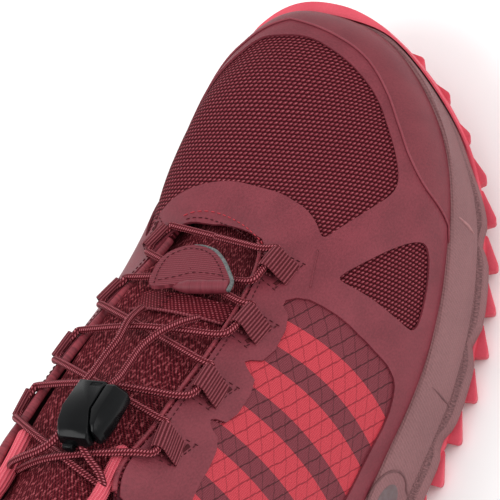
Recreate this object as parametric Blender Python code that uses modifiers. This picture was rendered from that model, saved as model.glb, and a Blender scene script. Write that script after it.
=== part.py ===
"""Low trail shoe for the right foot, with welded overlays, webbing lace loops and a cord lock.

Metres. +X points to the toe, +Y to the inner (medial) side and +Z up; the floor is z = 0.
Every curved piece is worked out from one table of sections round the last: each section runs
from the feather edge, where the upper meets the sole, up to the edge of the opening.
"""

import math

import bmesh
import bpy
import numpy as np

MM = 0.001

# Driving sizes, in millimetres
GAP = 0.35
WALL = 2.0
OVERLAY = 0.7
OUTSOLE_BASE = 2.4
LUG_HEIGHT = 3.6
INSOLE = 3.5
TONGUE = 3.5
LACE = 2.0
LOOP_LENGTH = 8.0
COLUMNS_PER_SECTION = 3
UPPER_ROWS = 11
# Middle of the finished shoe, measured from the back of the heel and the heel's centre line
MIDDLE_X, MIDDLE_Y = 137.024, -5.430

# Sections round the last, from the toe down the outer side to the heel and back up the inner side.
# foot: feather edge in plan; top: edge of the opening; rise and lean: height and outward lean of the
# lower handle of the section's curve; run and pitch: length and slope of its upper handle.
SECTION_COLUMNS = ("foot_x", "foot_y", "top_x", "top_y", "top_z", "rise", "lean", "run", "pitch")
SECTIONS = {
    "toe": (271.2, 10.5, 198.0, 9.0, 58.8, 20, 0.00, 40, 13),
    "toe_outer": (265.5, -13.0, 196.3, 2.5, 59.5, 20, 0.00, 38, 16),
    "little_toe": (251.0, -29.6, 191.5, -5.5, 61.5, 20, 0.00, 34, 22),
    "outer_front": (229.5, -41.8, 184.0, -11.5, 65.0, 21, 0.02, 30, 28),
    "outer_ball": (200.0, -47.8, 168.0, -14.8, 73.5, 22, 0.04, 26, 34),
    "outer_ball_rear": (168.0, -48.6, 148.0, -15.5, 84.9, 24, 0.04, 26, 39),
    "outer_waist": (135.0, -42.5, 124.0, -14.4, 98.4, 28, 0.04, 26, 45),
    "outer_instep": (105.0, -36.5, 101.0, -14.8, 108.8, 32, 0.05, 24, 50),
    "outer_ankle": (74.0, -35.0, 70.0, -28.5, 88.0, 26, 0.06, 16, 80),
    "outer_heel": (42.0, -33.5, 41.0, -29.0, 80.0, 22, 0.07, 14, 88),
    "outer_counter": (14.0, -23.5, 16.5, -19.5, 88.0, 20, 0.08, 16, 96),
    "heel": (4.0, 0.0, 7.0, 0.0, 97.0, 20, 0.08, 18, 102),
    "inner_counter": (14.0, 23.0, 16.5, 19.0, 88.0, 20, 0.08, 16, 96),
    "inner_heel": (42.0, 32.0, 41.0, 27.0, 80.0, 22, 0.07, 14, 88),
    "inner_ankle": (74.0, 30.0, 70.0, 26.5, 89.0, 26, 0.06, 16, 80),
    "inner_instep": (105.0, 28.0, 101.0, 25.2, 107.6, 32, 0.05, 22, 60),
    "inner_waist": (135.0, 31.5, 124.0, 25.4, 99.0, 26, 0.02, 22, 50),
    "inner_ball_rear": (168.0, 36.4, 147.5, 24.6, 86.8, 18, 0.00, 22, 43),
    "inner_ball": (200.0, 38.6, 167.0, 23.0, 74.9, 15, 0.00, 21, 36),
    "inner_front": (228.0, 37.8, 183.0, 20.6, 65.6, 14.5, 0.00, 23, 29),
    "big_toe": (249.0, 33.0, 191.5, 19.0, 61.8, 15.5, 0.00, 29, 22),
    "toe_inner": (264.3, 24.3, 196.3, 15.3, 59.7, 18, 0.00, 36, 16),
}
SECTION_COUNT = len(SECTIONS)
HEEL = list(SECTIONS).index("heel")
COLUMN_COUNT = SECTION_COUNT * COLUMNS_PER_SECTION
LAST = {
    column: np.array([row[i] for row in SECTIONS.values()], float)
    for i, column in enumerate(SECTION_COLUMNS)
}

# Heights along the shoe: footbed, rim of the midsole over the footbed, and underside of the midsole
HEIGHT_X = (0.0, 20.0, 72.0, 105.0, 140.0, 190.0, 222.0, 248.0, 278.0)
BED_Z = (31.0, 30.5, 28.4, 26.3, 24.0, 22.7, 24.6, 28.6, 34.5)
RIM_OVER_BED = (9.0, 8.4, 6.2, 5.0, 4.6, 4.5, 4.2, 3.6, 2.0)
SOLE_Z = (9.5, 6.0, 6.0, 8.4, 6.0, 6.0, 10.8, 18.0, 29.0)

# Side of the midsole from the rim down: share of the height, step out from the feather edge
SIDE_PROFILE = (
    ("rim", 1.00, 1.7),
    ("band_top", 0.92, 2.9),
    ("band_belly", 0.70, 4.0),
    ("band_foot", 0.37, 4.5),
    ("groove_top", 0.33, 3.6),
    ("groove_foot", 0.24, 3.8),
    ("step", 0.20, 4.9),
    ("step_belly", 0.09, 5.1),
    ("sole_edge", 0.00, 4.2),
)
STEP_ROWS = ("step", "step_belly", "sole_edge")
TOE_STEP_OUT = 0.95
# Flex notches in the midsole's lower step: place along the shoe, half width, depth
NOTCH_X = (36.0, 78.0, 122.0, 153.0, 181.5, 211.0, 241.5)
NOTCH_WIDTH = 4.0
NOTCH_DEPTH = 3.0
# The outsole's edge, its ledge inside that edge, its rounded corners and how much further it stands
# out round the toe
OUTSOLE_OUT = 3.6
OUTSOLE_LEDGE = 0.8
OUTSOLE_ROUND = 0.4
TOE_BUMPER = 1.7
# Round the toe the outsole turns up over the midsole: section numbers where that is full, where it
# ends, and where the midsole has stepped back to its full width
WRAP_FULL, WRAP_END, WRAP_ROOM = 0.9, 2.7, 3.6

# Tongue, from its free top edge down to its root under the vamp
TONGUE_COLUMNS = ("x", "middle_y", "middle_z", "half_width", "drop")
TONGUE_STATIONS = (
    (77.0, 2.5, 130.0, 15.5, 6.0),
    (88.0, 3.6, 121.0, 16.6, 8.5),
    (101.0, 4.6, 112.2, 17.4, 10.2),
    (124.0, 4.2, 102.2, 22.4, 13.4),
    (147.0, 4.0, 89.0, 23.3, 11.8),
    (165.0, 3.9, 77.4, 22.5, 9.6),
    (178.0, 4.5, 68.4, 21.0, 7.5),
    (190.0, 7.5, 60.0, 17.5, 5.0),
    (198.0, 8.5, 55.7, 14.0, 3.0),
    (209.0, 9.0, 52.6, 9.0, 1.5),
)
TONGUE_TABLE = {
    column: tuple(row[i] for row in TONGUE_STATIONS) for i, column in enumerate(TONGUE_COLUMNS)
}
TONGUE_ROWS, TONGUE_FIBRES = 16, 9

# Edges of the overlays as section number s and height t on the upper
RAND_LOW = 0.12
RAND_S = (-4.0, -2.5, -1.0, 0.0, 1.15, 1.85, 2.3, 3.0, 3.7, 4.7, 5.3, 6.3)
RAND_HIGH = (0.26, 0.36, 0.34, 0.33, 0.38, 0.45, 0.47, 0.43, 0.24, 0.22, 0.24, 0.20)
STAY_S = (-7.0, -5.0, -2.8, -1.0, 0.0, 1.0, 2.0, 3.0, 5.0, 7.0)
STAY_LOW = (0.84, 0.80, 0.80, 0.85, 0.87, 0.845, 0.835, 0.79, 0.79, 0.82)
STAY_HIGH = 0.985
BAND_FRONT = ((3.06, 0.46), (3.62, 0.30), (3.80, 0.765), (3.06, 0.765))
BAND_REAR = ((4.64, 0.25), (5.06, 0.28), (4.36, 0.765), (4.02, 0.765))

# Webbing lace loops: section number along the opening, from the throat back
OUTER_LOOPS = (3.40, 4.47, 5.43, 6.26)
INNER_LOOPS = (19.35, 17.92, 16.90, 16.06)
LOOP_T = 0.93
LOOP_LIFT = 0.7
LOOP_EYE_U, LOOP_EYE_V = -1.6, 1.9
LOOP_EYE, LOOP_BEND = 1.35, 1.85
LOOP_TAIL = ((1.6, 0.0), (4.6, 0.0), (4.6, 0.9), (1.6, 2.1))
# How far the lace rides over the tongue, and the cords to the lock over the lace
LACE_OVER = 1.7
CORD_OVER = LACE_OVER + LACE + 2.2

# Lace from the top eyelets to the lock, and its tucked ends: x and y along each cord
TOP_EYELETS = ((105.0, -7.6), (105.0, 13.6))
CORDS = {
    "lace_to_lock_outer": ((111.4, -3.2), (109.3, -6.0), (106.5, -9.0), (103.5, -11.0)),
    "lace_to_lock_inner": ((111.8, 2.4), (109.2, 6.4), (107.2, 12.0), (106.0, 17.0)),
    "lace_end_outer": ((134.0, -3.2), (139.0, -2.2), (145.0, -2.2), (148.5, -3.4), (151.5, -5.0)),
    "lace_end_inner": ((134.4, 4.8), (140.0, 5.6), (146.5, 5.2), (153.0, 7.4), (158.5, 8.6)),
}
# Cord lock: stations along its length, middle, half width, half thickness
LOCK_X, LOCK_Y, LOCK_LIFT, LOCK_SLOPE = 122.4, -1.6, 9.6, 25.0
LOCK_BODY = (
    (-9.8, 3.2, 4.0, 2.6),
    (-8.6, 3.4, 4.6, 3.6),
    (1.0, 3.2, 4.6, 4.2),
    (7.5, 1.2, 5.2, 3.6),
    (9.5, 0.6, 4.6, 2.2),
)
LOCK_BUTTON = (
    (-9.2, -4.0, 2.6, 2.6),
    (-8.0, -4.6, 2.9, 3.5),
    (1.0, -4.7, 2.8, 3.9),
    (6.5, -5.6, 1.2, 3.2),
    (7.4, -5.7, 0.8, 2.4),
)
LOCK_CORNER = 0.6

# Half-moon tab over the throat, turned a little to the inner side, and woven band across the tongue
TAB_X, TAB_Y, TAB_RADIUS, TAB_TURN = 172.5, 2.6, 12.0, 14.0
TAB_LIFT, TAB_THICK, TAB_FLAT = 5.4, 1.1, 0.7
TAB_RINGS = (0.08, 0.36, 0.68, 1.0)
BAND_LIFT, BAND_THICK = 0.45, 0.7
BAND_FROM, BAND_TO, BAND_WIDTH = (164.5, 17.0), (162.8, -13.0), 6.6
# Coral loops at the top eyelets: half width, then x and y along each
CORAL_LOOPS = {
    "eyelet_loop_outer": (2.0, ((112.5, -10.4), (106.0, -10.0), (99.0, -9.4))),
    "eyelet_loop_inner": (3.0, ((113.5, 19.6), (106.0, 19.2), (97.0, 18.2))),
}
CORAL_HALF_THICK = 1.2


def along(table_x, table_y, x):
    """Smooth curve through a short table of heights along the shoe."""
    table_x, table_y = np.array(table_x, float), np.array(table_y, float)
    x = np.clip(np.asarray(x, float), table_x[0], table_x[-1])
    chord = np.diff(table_y) / np.diff(table_x)
    before, after = chord[:-1], chord[1:]
    level = before * after <= 0
    shared = 2 * before * after / np.where(level, 1.0, before + after)
    slope = np.concatenate([chord[:1], np.where(level, 0.0, shared), chord[-1:]])
    i = np.clip(np.searchsorted(table_x, x) - 1, 0, len(table_x) - 2)
    step = table_x[i + 1] - table_x[i]
    f = (x - table_x[i]) / step
    start = table_y[i] * (1 + 2 * f) * (1 - f) ** 2 + slope[i] * step * f * (1 - f) ** 2
    end = table_y[i + 1] * f * f * (3 - 2 * f) + slope[i + 1] * step * f * f * (f - 1)
    return start + end


def bed_z(x):
    return along(HEIGHT_X, BED_Z, x)


def rim_z(x):
    return bed_z(x) + along(HEIGHT_X, RIM_OVER_BED, x)


def sole_z(x):
    return along(HEIGHT_X, SOLE_Z, x)


def around(column, s):
    """A column of the section table at section number s, on a closed curve."""
    values = LAST[column]
    s = np.asarray(s, float)
    i = np.floor(s).astype(int)
    f = s - i
    p0, p1, p2, p3 = (values[(i + k) % SECTION_COUNT] for k in (-1, 0, 1, 2))
    bend = 2 * p0 - 5 * p1 + 4 * p2 - p3
    return p1 + 0.5 * f * ((p2 - p0) + f * (bend + f * (3 * (p1 - p2) + p3 - p0)))


def plan_normal(prefix, s):
    """Outward direction, in plan, of the loop of feather or top points."""
    step = 0.05
    dx = around(prefix + "_x", s + step) - around(prefix + "_x", s - step)
    dy = around(prefix + "_y", s + step) - around(prefix + "_y", s - step)
    length = np.hypot(dx, dy)
    return np.stack([-dy / length, dx / length], axis=-1)


def upper_point(s, t):
    """Outer face of the upper: s counts sections round the last, t is 0 at the sole and 1 at the opening."""
    s, t = np.broadcast_arrays(np.asarray(s, float), np.asarray(t, float))
    foot_x, foot_y = around("foot_x", s), around("foot_y", s)
    rise, run = around("rise", s), around("run", s)
    pitch = np.radians(around("pitch", s))
    out_foot, out_top = plan_normal("foot", s), plan_normal("top", s)
    foot = np.stack([foot_x, foot_y, bed_z(foot_x) + GAP], axis=-1)
    top = np.stack([around("top_x", s), around("top_y", s), around("top_z", s)], axis=-1)
    lean = (around("lean", s) * rise)[..., None] * out_foot
    low = foot + np.concatenate([lean, rise[..., None]], axis=-1)
    back = (run * np.cos(pitch))[..., None] * out_top
    high = top + np.concatenate([back, (-run * np.sin(pitch))[..., None]], axis=-1)
    t = t[..., None]
    return foot * (1 - t) ** 3 + 3 * low * t * (1 - t) ** 2 + 3 * high * t * t * (1 - t) + top * t**3


def upper_normal(s, t):
    """Outward direction of the upper's face."""
    ds, dt = 0.04, 0.01
    t = np.clip(t, dt, 1 - dt)
    along_s = upper_point(s + ds, t) - upper_point(s - ds, t)
    along_t = upper_point(s, t + dt) - upper_point(s, t - dt)
    normal = np.cross(along_t, along_s)
    return normal / np.linalg.norm(normal, axis=-1, keepdims=True)


def columns():
    """Section number of each column of the sole."""
    return np.arange(COLUMN_COUNT) / COLUMNS_PER_SECTION


def foot_outline(out):
    """The feather edge moved outwards in plan, one point for each column."""
    s = columns()
    plan = np.stack([around("foot_x", s), around("foot_y", s)], axis=-1)
    return plan + np.asarray(out, float).reshape(-1, 1) * plan_normal("foot", s)


def near_toe(s, full, end):
    """1 round the toe, fading to 0 along both sides between two section numbers."""
    from_toe = np.minimum(s, SECTION_COUNT - s)
    f = np.clip((end - from_toe) / (end - full), 0, 1)
    return f * f * (3 - 2 * f)


def smooth_material(name, colour, roughness, metallic=0.0):
    material = bpy.data.materials.new(name)
    material.use_nodes = True
    shader = material.node_tree.nodes["Principled BSDF"]
    shader.inputs["Base Color"].default_value = (*colour, 1.0)
    shader.inputs["Roughness"].default_value = roughness
    shader.inputs["Metallic"].default_value = metallic
    material.diffuse_color = (*colour, 1.0)
    return material


def to_frame(point):
    """From the heel's back edge to the frame's origin under the middle of the shoe."""
    return point[0] - MIDDLE_X, point[1] - MIDDLE_Y, point[2]


def add_object(name, points, faces, material, collection):
    """A named object from points in millimetres and faces that point outwards."""
    mesh = bpy.data.meshes.new(name)
    mesh.from_pydata([tuple(c * MM for c in to_frame(point)) for point in points], [], faces)
    mesh.validate()
    mesh.shade_smooth()
    mesh.materials.append(material)
    shape = bpy.data.objects.new(name, mesh)
    collection.objects.link(shape)
    return shape


def solidify(shape, thickness, offset):
    wall = shape.modifiers.new("wall", "SOLIDIFY")
    wall.thickness = thickness * MM
    wall.offset = offset
    wall.use_rim = True
    return shape


def sheet_faces(rows, columns, closed):
    """Quads of a grid whose rows run from the sole up and whose columns run round the last."""
    faces = []
    for r in range(rows - 1):
        for c in range(columns if closed else columns - 1):
            d = (c + 1) % columns
            faces.append((r * columns + d, r * columns + c, (r + 1) * columns + c, (r + 1) * columns + d))
    return faces


def ladder_faces(first, up):
    """Faces across a loop of columns, rung by rung from the toe to the heel."""
    half = COLUMN_COUNT // 2
    faces = []
    for i in range(half):
        rung = [first + i, first + i + 1, first + COLUMN_COUNT - i - 1]
        if 0 < i < half - 1:
            rung.append(first + COLUMN_COUNT - i)
        elif i == half - 1:
            rung = [first + i, first + half, first + half + 1]
        faces.append(tuple(reversed(rung)) if up else tuple(rung))
    return faces


def stacked_solid(name, rings, material, collection):
    """A closed solid through rings of columns, from its top face round the outside to its underside."""
    points = [point for ring in rings for point in ring]
    faces = []
    for r in range(len(rings) - 1):
        for c in range(COLUMN_COUNT):
            d = (c + 1) % COLUMN_COUNT
            upper_ring, lower_ring = r * COLUMN_COUNT, (r + 1) * COLUMN_COUNT
            faces.append((upper_ring + c, upper_ring + d, lower_ring + d, lower_ring + c))
    faces += ladder_faces(0, up=True)
    faces += ladder_faces((len(rings) - 1) * COLUMN_COUNT, up=False)
    return add_object(name, points, faces, material, collection)


def ring_at(plan, height):
    return np.column_stack([plan, np.broadcast_to(height, len(plan))])


def make_upper(material, collection):
    t = np.linspace(0, 1, UPPER_ROWS)
    points = upper_point(columns()[None, :], t[:, None]).reshape(-1, 3)
    faces = sheet_faces(UPPER_ROWS, COLUMN_COUNT, True)
    return solidify(add_object("upper", points, faces, material, collection), WALL, -1)


def make_midsole(material, collection):
    """Footbed with a raised rim round the upper, and a stepped, notched side."""
    wrap = near_toe(columns(), WRAP_END, WRAP_ROOM)
    x = foot_outline(0)[:, 0]
    low, high = sole_z(x) + GAP, rim_z(x)
    slack = around("lean", columns()) * (high - bed_z(x))
    notch = sum(np.exp(-(((x - place) / NOTCH_WIDTH) ** 2)) for place in NOTCH_X) * NOTCH_DEPTH
    rings = [
        ring_at(foot_outline(GAP), bed_z(x)),
        ring_at(foot_outline(GAP + slack), high),
    ]
    for row, share, out in SIDE_PROFILE:
        side = out - (notch if row in STEP_ROWS else 0.0)
        reach = side * (1 - wrap) + TOE_STEP_OUT * wrap
        rings.append(ring_at(foot_outline(reach), low + (high - low) * share))
    return stacked_solid("midsole", rings, material, collection)


def make_insole(material, collection):
    plan = foot_outline(-WALL - 1.4)
    x = foot_outline(0)[:, 0]
    rings = [ring_at(plan, bed_z(x) + GAP + INSOLE), ring_at(plan, bed_z(x) + GAP)]
    return stacked_solid("insole", rings, material, collection)


def outsole_bottom(x):
    return sole_z(x) - OUTSOLE_BASE


def lug_prism(plan, tops, bottoms):
    """Points and outward faces of an upright prism over a plan outline that runs anticlockwise."""
    n = len(plan)
    points = [(*p, z) for p, z in zip(plan, bottoms)] + [(*p, z) for p, z in zip(plan, tops)]
    faces = [tuple(reversed(range(n))), tuple(range(n, 2 * n))]
    faces += [(i, (i + 1) % n, n + (i + 1) % n, n + i) for i in range(n)]
    return points, faces


# Side lug in plan, seen with the toe ahead: ahead along the edge, out from the edge
SIDE_LUG = ((5.5, -6.5), (6.0, -0.4), (-3.2, 2.7), (-4.6, 2.3), (-5.0, -7.5))
SIDE_LUG_STEP = 13.0
# Towards the toe the side lugs draw in: by how much, and the section numbers of its start and end
TOE_LUG_BACK, TOE_LUG_FULL, TOE_LUG_END = 2.2, 3.0, 4.2
# Chevron lug in plan: ahead, across
CHEVRON = ((7.0, 0.0), (-1.0, 13.0), (-6.0, 13.0), (1.0, 0.0), (-6.0, -13.0), (-1.0, -13.0))
CHEVRON_X = tuple(range(26, 92, 16)) + tuple(range(140, 252, 16))


def side_lug_plans():
    """Plan outlines of the lugs down both edges of the outsole."""
    fine = np.linspace(0, SECTION_COUNT, 40 * SECTION_COUNT)
    normal = plan_normal("foot", fine)
    edge = np.stack([around("foot_x", fine), around("foot_y", fine)], axis=-1) + OUTSOLE_OUT * normal
    length = np.concatenate([[0], np.cumsum(np.linalg.norm(np.diff(edge, axis=0), axis=1))])
    count = int(length[-1] // SIDE_LUG_STEP)
    plans = []
    for k in range(count):
        i = int(np.argmin(np.abs(length - (k + 0.5) * length[-1] / count)))
        out = normal[i]
        ahead = np.array([out[1], -out[0]]) if fine[i] > HEEL else np.array([-out[1], out[0]])
        back = TOE_LUG_BACK * near_toe(fine[i], TOE_LUG_FULL, TOE_LUG_END)
        plan = [edge[i] + ahead * a + out * (o - back) for a, o in SIDE_LUG]
        plans.append(plan if fine[i] > HEEL else plan[::-1])
    return plans


def chevron_plans():
    middle = 0.5 * (LAST["foot_y"][1:HEEL] + LAST["foot_y"][:HEEL:-1])
    lane_x = LAST["foot_x"][1:HEEL]
    return [
        [(x + ahead, np.interp(x, lane_x[::-1], middle[::-1]) + across) for ahead, across in CHEVRON]
        for x in CHEVRON_X
    ]


def make_outsole(material, collection):
    """Rubber sheet that turns up over the toe, with side lugs and a lane of chevrons under it."""
    wrap = near_toe(columns(), WRAP_FULL, WRAP_END)
    room = near_toe(columns(), WRAP_END, WRAP_ROOM)
    x = foot_outline(0)[:, 0]
    top = sole_z(x)
    lip = top + wrap * (rim_z(x) + GAP - top)
    inner = (TOE_STEP_OUT + GAP) * room + (OUTSOLE_OUT - OUTSOLE_LEDGE) * (1 - room)
    outer = OUTSOLE_OUT + TOE_BUMPER * wrap
    rings = [
        ring_at(foot_outline(inner), top),
        ring_at(foot_outline(inner + 0.1), lip + 0.02),
        ring_at(foot_outline(outer - OUTSOLE_ROUND), lip),
        ring_at(foot_outline(outer), lip - OUTSOLE_ROUND - 0.25 * (lip - top)),
        ring_at(foot_outline(outer - OUTSOLE_ROUND), outsole_bottom(x)),
    ]
    base = stacked_solid("outsole", rings, material, collection)
    points, faces = [], []
    for plan in side_lug_plans() + chevron_plans():
        ground = [outsole_bottom(p[0]) - LUG_HEIGHT for p in plan]
        inside = [outsole_bottom(p[0]) + 0.5 * OUTSOLE_BASE for p in plan]
        lug_points, lug_faces = lug_prism(plan, inside, ground)
        faces += [tuple(len(points) + i for i in face) for face in lug_faces]
        points += lug_points
    join_into(base, [add_object("lug_tool", points, faces, material, collection)])


def join_into(base, tools):
    """Union the tools into the base, leaving one plain mesh."""
    for tool in tools:
        union = base.modifiers.new("union", "BOOLEAN")
        union.operation = "UNION"
        union.solver = "EXACT"
        union.use_self = True
        union.object = tool
    bpy.context.view_layer.update()
    graph = bpy.context.evaluated_depsgraph_get()
    mesh = bpy.data.meshes.new_from_object(base.evaluated_get(graph))
    base.modifiers.clear()
    base.data = mesh
    for tool in tools:
        bpy.data.objects.remove(tool)


def tongue_row(column, x):
    return along(TONGUE_TABLE["x"], TONGUE_TABLE[column], x)


def tongue_z(x, y):
    """Top face of the tongue."""
    q = (y - tongue_row("middle_y", x)) / tongue_row("half_width", x)
    return tongue_row("middle_z", x) - tongue_row("drop", x) * q * q


def over_tongue(x, y, lift):
    x, y = np.asarray(x, float), np.asarray(y, float)
    return np.stack([x, y, tongue_z(x, y) + lift], axis=-1)


def make_tongue(material, collection):
    x = np.linspace(TONGUE_TABLE["x"][0], TONGUE_TABLE["x"][-1], TONGUE_ROWS)[:, None]
    q = np.linspace(-1, 1, TONGUE_FIBRES)[None, :]
    y = tongue_row("middle_y", x) + q * tongue_row("half_width", x)
    points = over_tongue(np.broadcast_to(x, y.shape), y, 0.0).reshape(-1, 3)
    faces = sheet_faces(TONGUE_ROWS, TONGUE_FIBRES, False)
    return solidify(facing_up(add_object("tongue", points, faces, material, collection)), TONGUE, -1)


def overlay_strip(name, edge_s, low, high, rows, material, collection):
    """Film between two edge tables, its columns in line with the upper's own."""
    s = np.arange(edge_s[0] * COLUMNS_PER_SECTION, edge_s[-1] * COLUMNS_PER_SECTION + 0.5)
    s = s / COLUMNS_PER_SECTION
    bottom, top = np.interp(s, edge_s, low), np.interp(s, edge_s, high)
    t = bottom + (top - bottom) * np.linspace(0, 1, rows)[:, None]
    return film(name, np.broadcast_to(s, t.shape), t, material, collection)


def overlay_quad(name, corners, rows, columns, material, collection):
    """Film between four corners, given from its lower front round to its upper front."""
    f, g = np.meshgrid(np.linspace(0, 1, columns), np.linspace(0, 1, rows))
    shares = ((1 - f) * (1 - g), f * (1 - g), f * g, (1 - f) * g)
    s = sum(share * corner[0] for share, corner in zip(shares, corners))
    t = sum(share * corner[1] for share, corner in zip(shares, corners))
    return film(name, s, t, material, collection)


def film(name, s, t, material, collection):
    points = upper_point(s, t) + GAP * upper_normal(s, t)
    faces = sheet_faces(*s.shape, False)
    return solidify(add_object(name, points.reshape(-1, 3), faces, material, collection), OVERLAY, 1)


def loop_frame(s):
    """Place and directions of a lace loop: ahead along the opening, out down the upper, and up off it."""
    up = upper_normal(s, LOOP_T)
    place = upper_point(s, LOOP_T) + up * (GAP + OVERLAY + LOOP_LIFT)
    out = upper_point(s, LOOP_T - 0.02) - upper_point(s, LOOP_T + 0.02)
    out = out / np.linalg.norm(out)
    ahead = np.cross(out, up)
    return place, ahead * np.sign(ahead[0]), out, up


def loop_eye(s, ahead_by):
    place, ahead, out, up = loop_frame(s)
    return place + out * LOOP_EYE_U + up * LOOP_EYE_V + ahead * ahead_by


def make_loop(name, s, material, collection):
    """Folded webbing: an eye for the lace and a tail that lies down the eyestay."""
    place, ahead, out, up = loop_frame(s)
    bend = np.radians(np.linspace(90, 270, 7))
    profile = [(LOOP_EYE_U + LOOP_BEND * math.cos(a), LOOP_EYE_V + LOOP_BEND * math.sin(a)) for a in bend]
    profile += LOOP_TAIL
    angles = np.concatenate([bend, np.radians([305, 340, 20, 55])])
    hole = [(LOOP_EYE_U + LOOP_EYE * math.cos(a), LOOP_EYE_V + LOOP_EYE * math.sin(a)) for a in angles]
    n = len(profile)
    points = [
        place + out * u + up * v + ahead * end
        for end in (-LOOP_LENGTH / 2, LOOP_LENGTH / 2)
        for outline in (profile, hole)
        for u, v in outline
    ]
    faces = []
    for i in range(n):
        j = (i + 1) % n
        faces += [
            (i, j, j + 2 * n, i + 2 * n),
            (j + n, i + n, i + 3 * n, j + 3 * n),
            (j, i, i + n, j + n),
            (i + 2 * n, j + 2 * n, j + 3 * n, i + 3 * n),
        ]
    return outward(add_object(name, points, faces, material, collection))


def outward(shape):
    """Turn every face of a closed shape outwards."""
    edit = bmesh.new()
    edit.from_mesh(shape.data)
    bmesh.ops.recalc_face_normals(edit, faces=edit.faces)
    edit.to_mesh(shape.data)
    edit.free()
    return shape


def cord_mesh(name, points, material, collection):
    """Round lace along a short route."""
    curve = bpy.data.curves.new(name, "CURVE")
    curve.dimensions = "3D"
    curve.bevel_depth = 0.5 * LACE * MM
    curve.bevel_resolution = 1
    curve.use_fill_caps = True
    spline = curve.splines.new("POLY")
    spline.points.add(len(points) - 1)
    for knot, point in zip(spline.points, points):
        knot.co = (*[c * MM for c in to_frame(point)], 1.0)
    curve.materials.append(material)
    route = bpy.data.objects.new(name + "_route", curve)
    collection.objects.link(route)
    bpy.context.view_layer.update()
    graph = bpy.context.evaluated_depsgraph_get()
    mesh = bpy.data.meshes.new_from_object(route.evaluated_get(graph))
    bpy.data.objects.remove(route)
    edit = bmesh.new()
    edit.from_mesh(mesh)
    bmesh.ops.remove_doubles(edit, verts=edit.verts, dist=0.01 * MM)
    edit.to_mesh(mesh)
    edit.free()
    shape = bpy.data.objects.new(name, mesh)
    collection.objects.link(shape)
    return shape


def lace_ends(s, way):
    """Where the lace leaves a loop, to the toe (way 1) or heel (-1), and clears the opening's edge."""
    reach = 0.5 * LOOP_LENGTH + 0.5 * LACE + 2 * GAP
    leave = loop_eye(s, way * reach)
    pace = around("top_x", s + 0.5) - around("top_x", s - 0.5)
    edge = s + way * reach / pace
    over = GAP + OVERLAY + 0.5 * LACE + 2 * GAP
    return [leave, upper_point(edge, STAY_HIGH) + over * upper_normal(edge, STAY_HIGH)]


def span(start, end, knots=7):
    """Lace between two lists of points, laid over the tongue without touching it."""
    f = np.linspace(0, 1, knots)
    middle = start[-1] * (1 - f)[:, None] + end[-1] * f[:, None]
    ride = tongue_z(middle[:, 0], middle[:, 1]) + LACE_OVER + 0.5 * LACE
    bow = max(0.0, ride[knots // 2] - middle[knots // 2, 2])
    middle[:, 2] = np.maximum(ride, middle[:, 2] + bow * 4 * f * (1 - f))
    middle[0], middle[-1] = start[-1], end[-1]
    return np.vstack([*start[:-1], middle, *reversed(end[:-1])])


def make_laces(material, collection):
    bar = span(lace_ends(OUTER_LOOPS[0], 1), lace_ends(INNER_LOOPS[0], 1))
    cord_mesh("lace_bar", bar, material, collection)
    eyelets = [[over_tongue(x, y, LACE_OVER + 0.5 * LACE)] for x, y in TOP_EYELETS]
    outer_ends = [lace_ends(s, 1) for s in OUTER_LOOPS[1:]] + eyelets[:1]
    inner_ends = [lace_ends(s, 1) for s in INNER_LOOPS[1:]] + eyelets[1:]
    for k, (outer, inner) in enumerate(zip(OUTER_LOOPS, INNER_LOOPS)):
        name = f"lace_cross_{k + 1}"
        first = cord_mesh(name, span(lace_ends(outer, -1), inner_ends[k]), material, collection)
        second = cord_mesh(name + "_tool", span(lace_ends(inner, -1), outer_ends[k]), material, collection)
        join_into(first, [second])
    for name, plan in CORDS.items():
        route = np.array(plan)
        cord_mesh(name, over_tongue(route[:, 0], route[:, 1], CORD_OVER + 0.5 * LACE), material, collection)


def make_lock(material, collection):
    """Cord lock in two moulded parts: the body, and the button down its outer side."""
    slope = math.radians(LOCK_SLOPE)
    centre = over_tongue(LOCK_X, LOCK_Y, LOCK_LIFT)
    run = np.array([-math.cos(slope), 0.0, math.sin(slope)])
    up = np.array([math.sin(slope), 0.0, math.cos(slope)])
    across = np.array([0.0, 1.0, 0.0])
    corner = LOCK_CORNER
    outline = ((1, corner), (corner, 1), (-corner, 1), (-1, corner))
    outline += tuple((-a, -b) for a, b in outline)
    n = len(outline)
    for name, stations in (("lace_lock", LOCK_BODY), ("lace_lock_button", LOCK_BUTTON)):
        points = [
            centre + run * u + across * (middle + half * a) + up * thick * b
            for u, middle, half, thick in stations
            for a, b in outline
        ]
        faces = [tuple(range(n)), tuple(range(len(points) - 1, len(points) - n - 1, -1))]
        for r in range(len(stations) - 1):
            for i in range(n):
                j = (i + 1) % n
                faces.append((r * n + i, r * n + j, (r + 1) * n + j, (r + 1) * n + i))
        outward(add_object(name, points, faces, material, collection))


def make_tab(material, collection):
    """Half-moon tab with its straight edge to the heel, lying over the tongue."""
    angle = np.radians(np.linspace(-90, 90, 13) + TAB_TURN)[None, :]
    radius = TAB_RADIUS * np.array(TAB_RINGS)[:, None]
    x = TAB_X + radius * np.cos(angle)
    y = TAB_Y + radius * np.sin(angle)
    points = over_tongue(x, y, TAB_LIFT)
    points[..., 2] += TAB_FLAT * (tongue_z(x, TAB_Y) - tongue_z(x, y))
    points = points.reshape(-1, 3)
    shape = add_object("lace_tab", points, sheet_faces(*x.shape, False), material, collection)
    solidify(facing_up(shape), TAB_THICK, 1)


def facing_up(shape):
    """Turn a sheet's faces upwards."""
    edit = bmesh.new()
    edit.from_mesh(shape.data)
    low = [face for face in edit.faces if face.normal.z < 0]
    bmesh.ops.reverse_faces(edit, faces=low)
    edit.to_mesh(shape.data)
    edit.free()
    return shape


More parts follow.
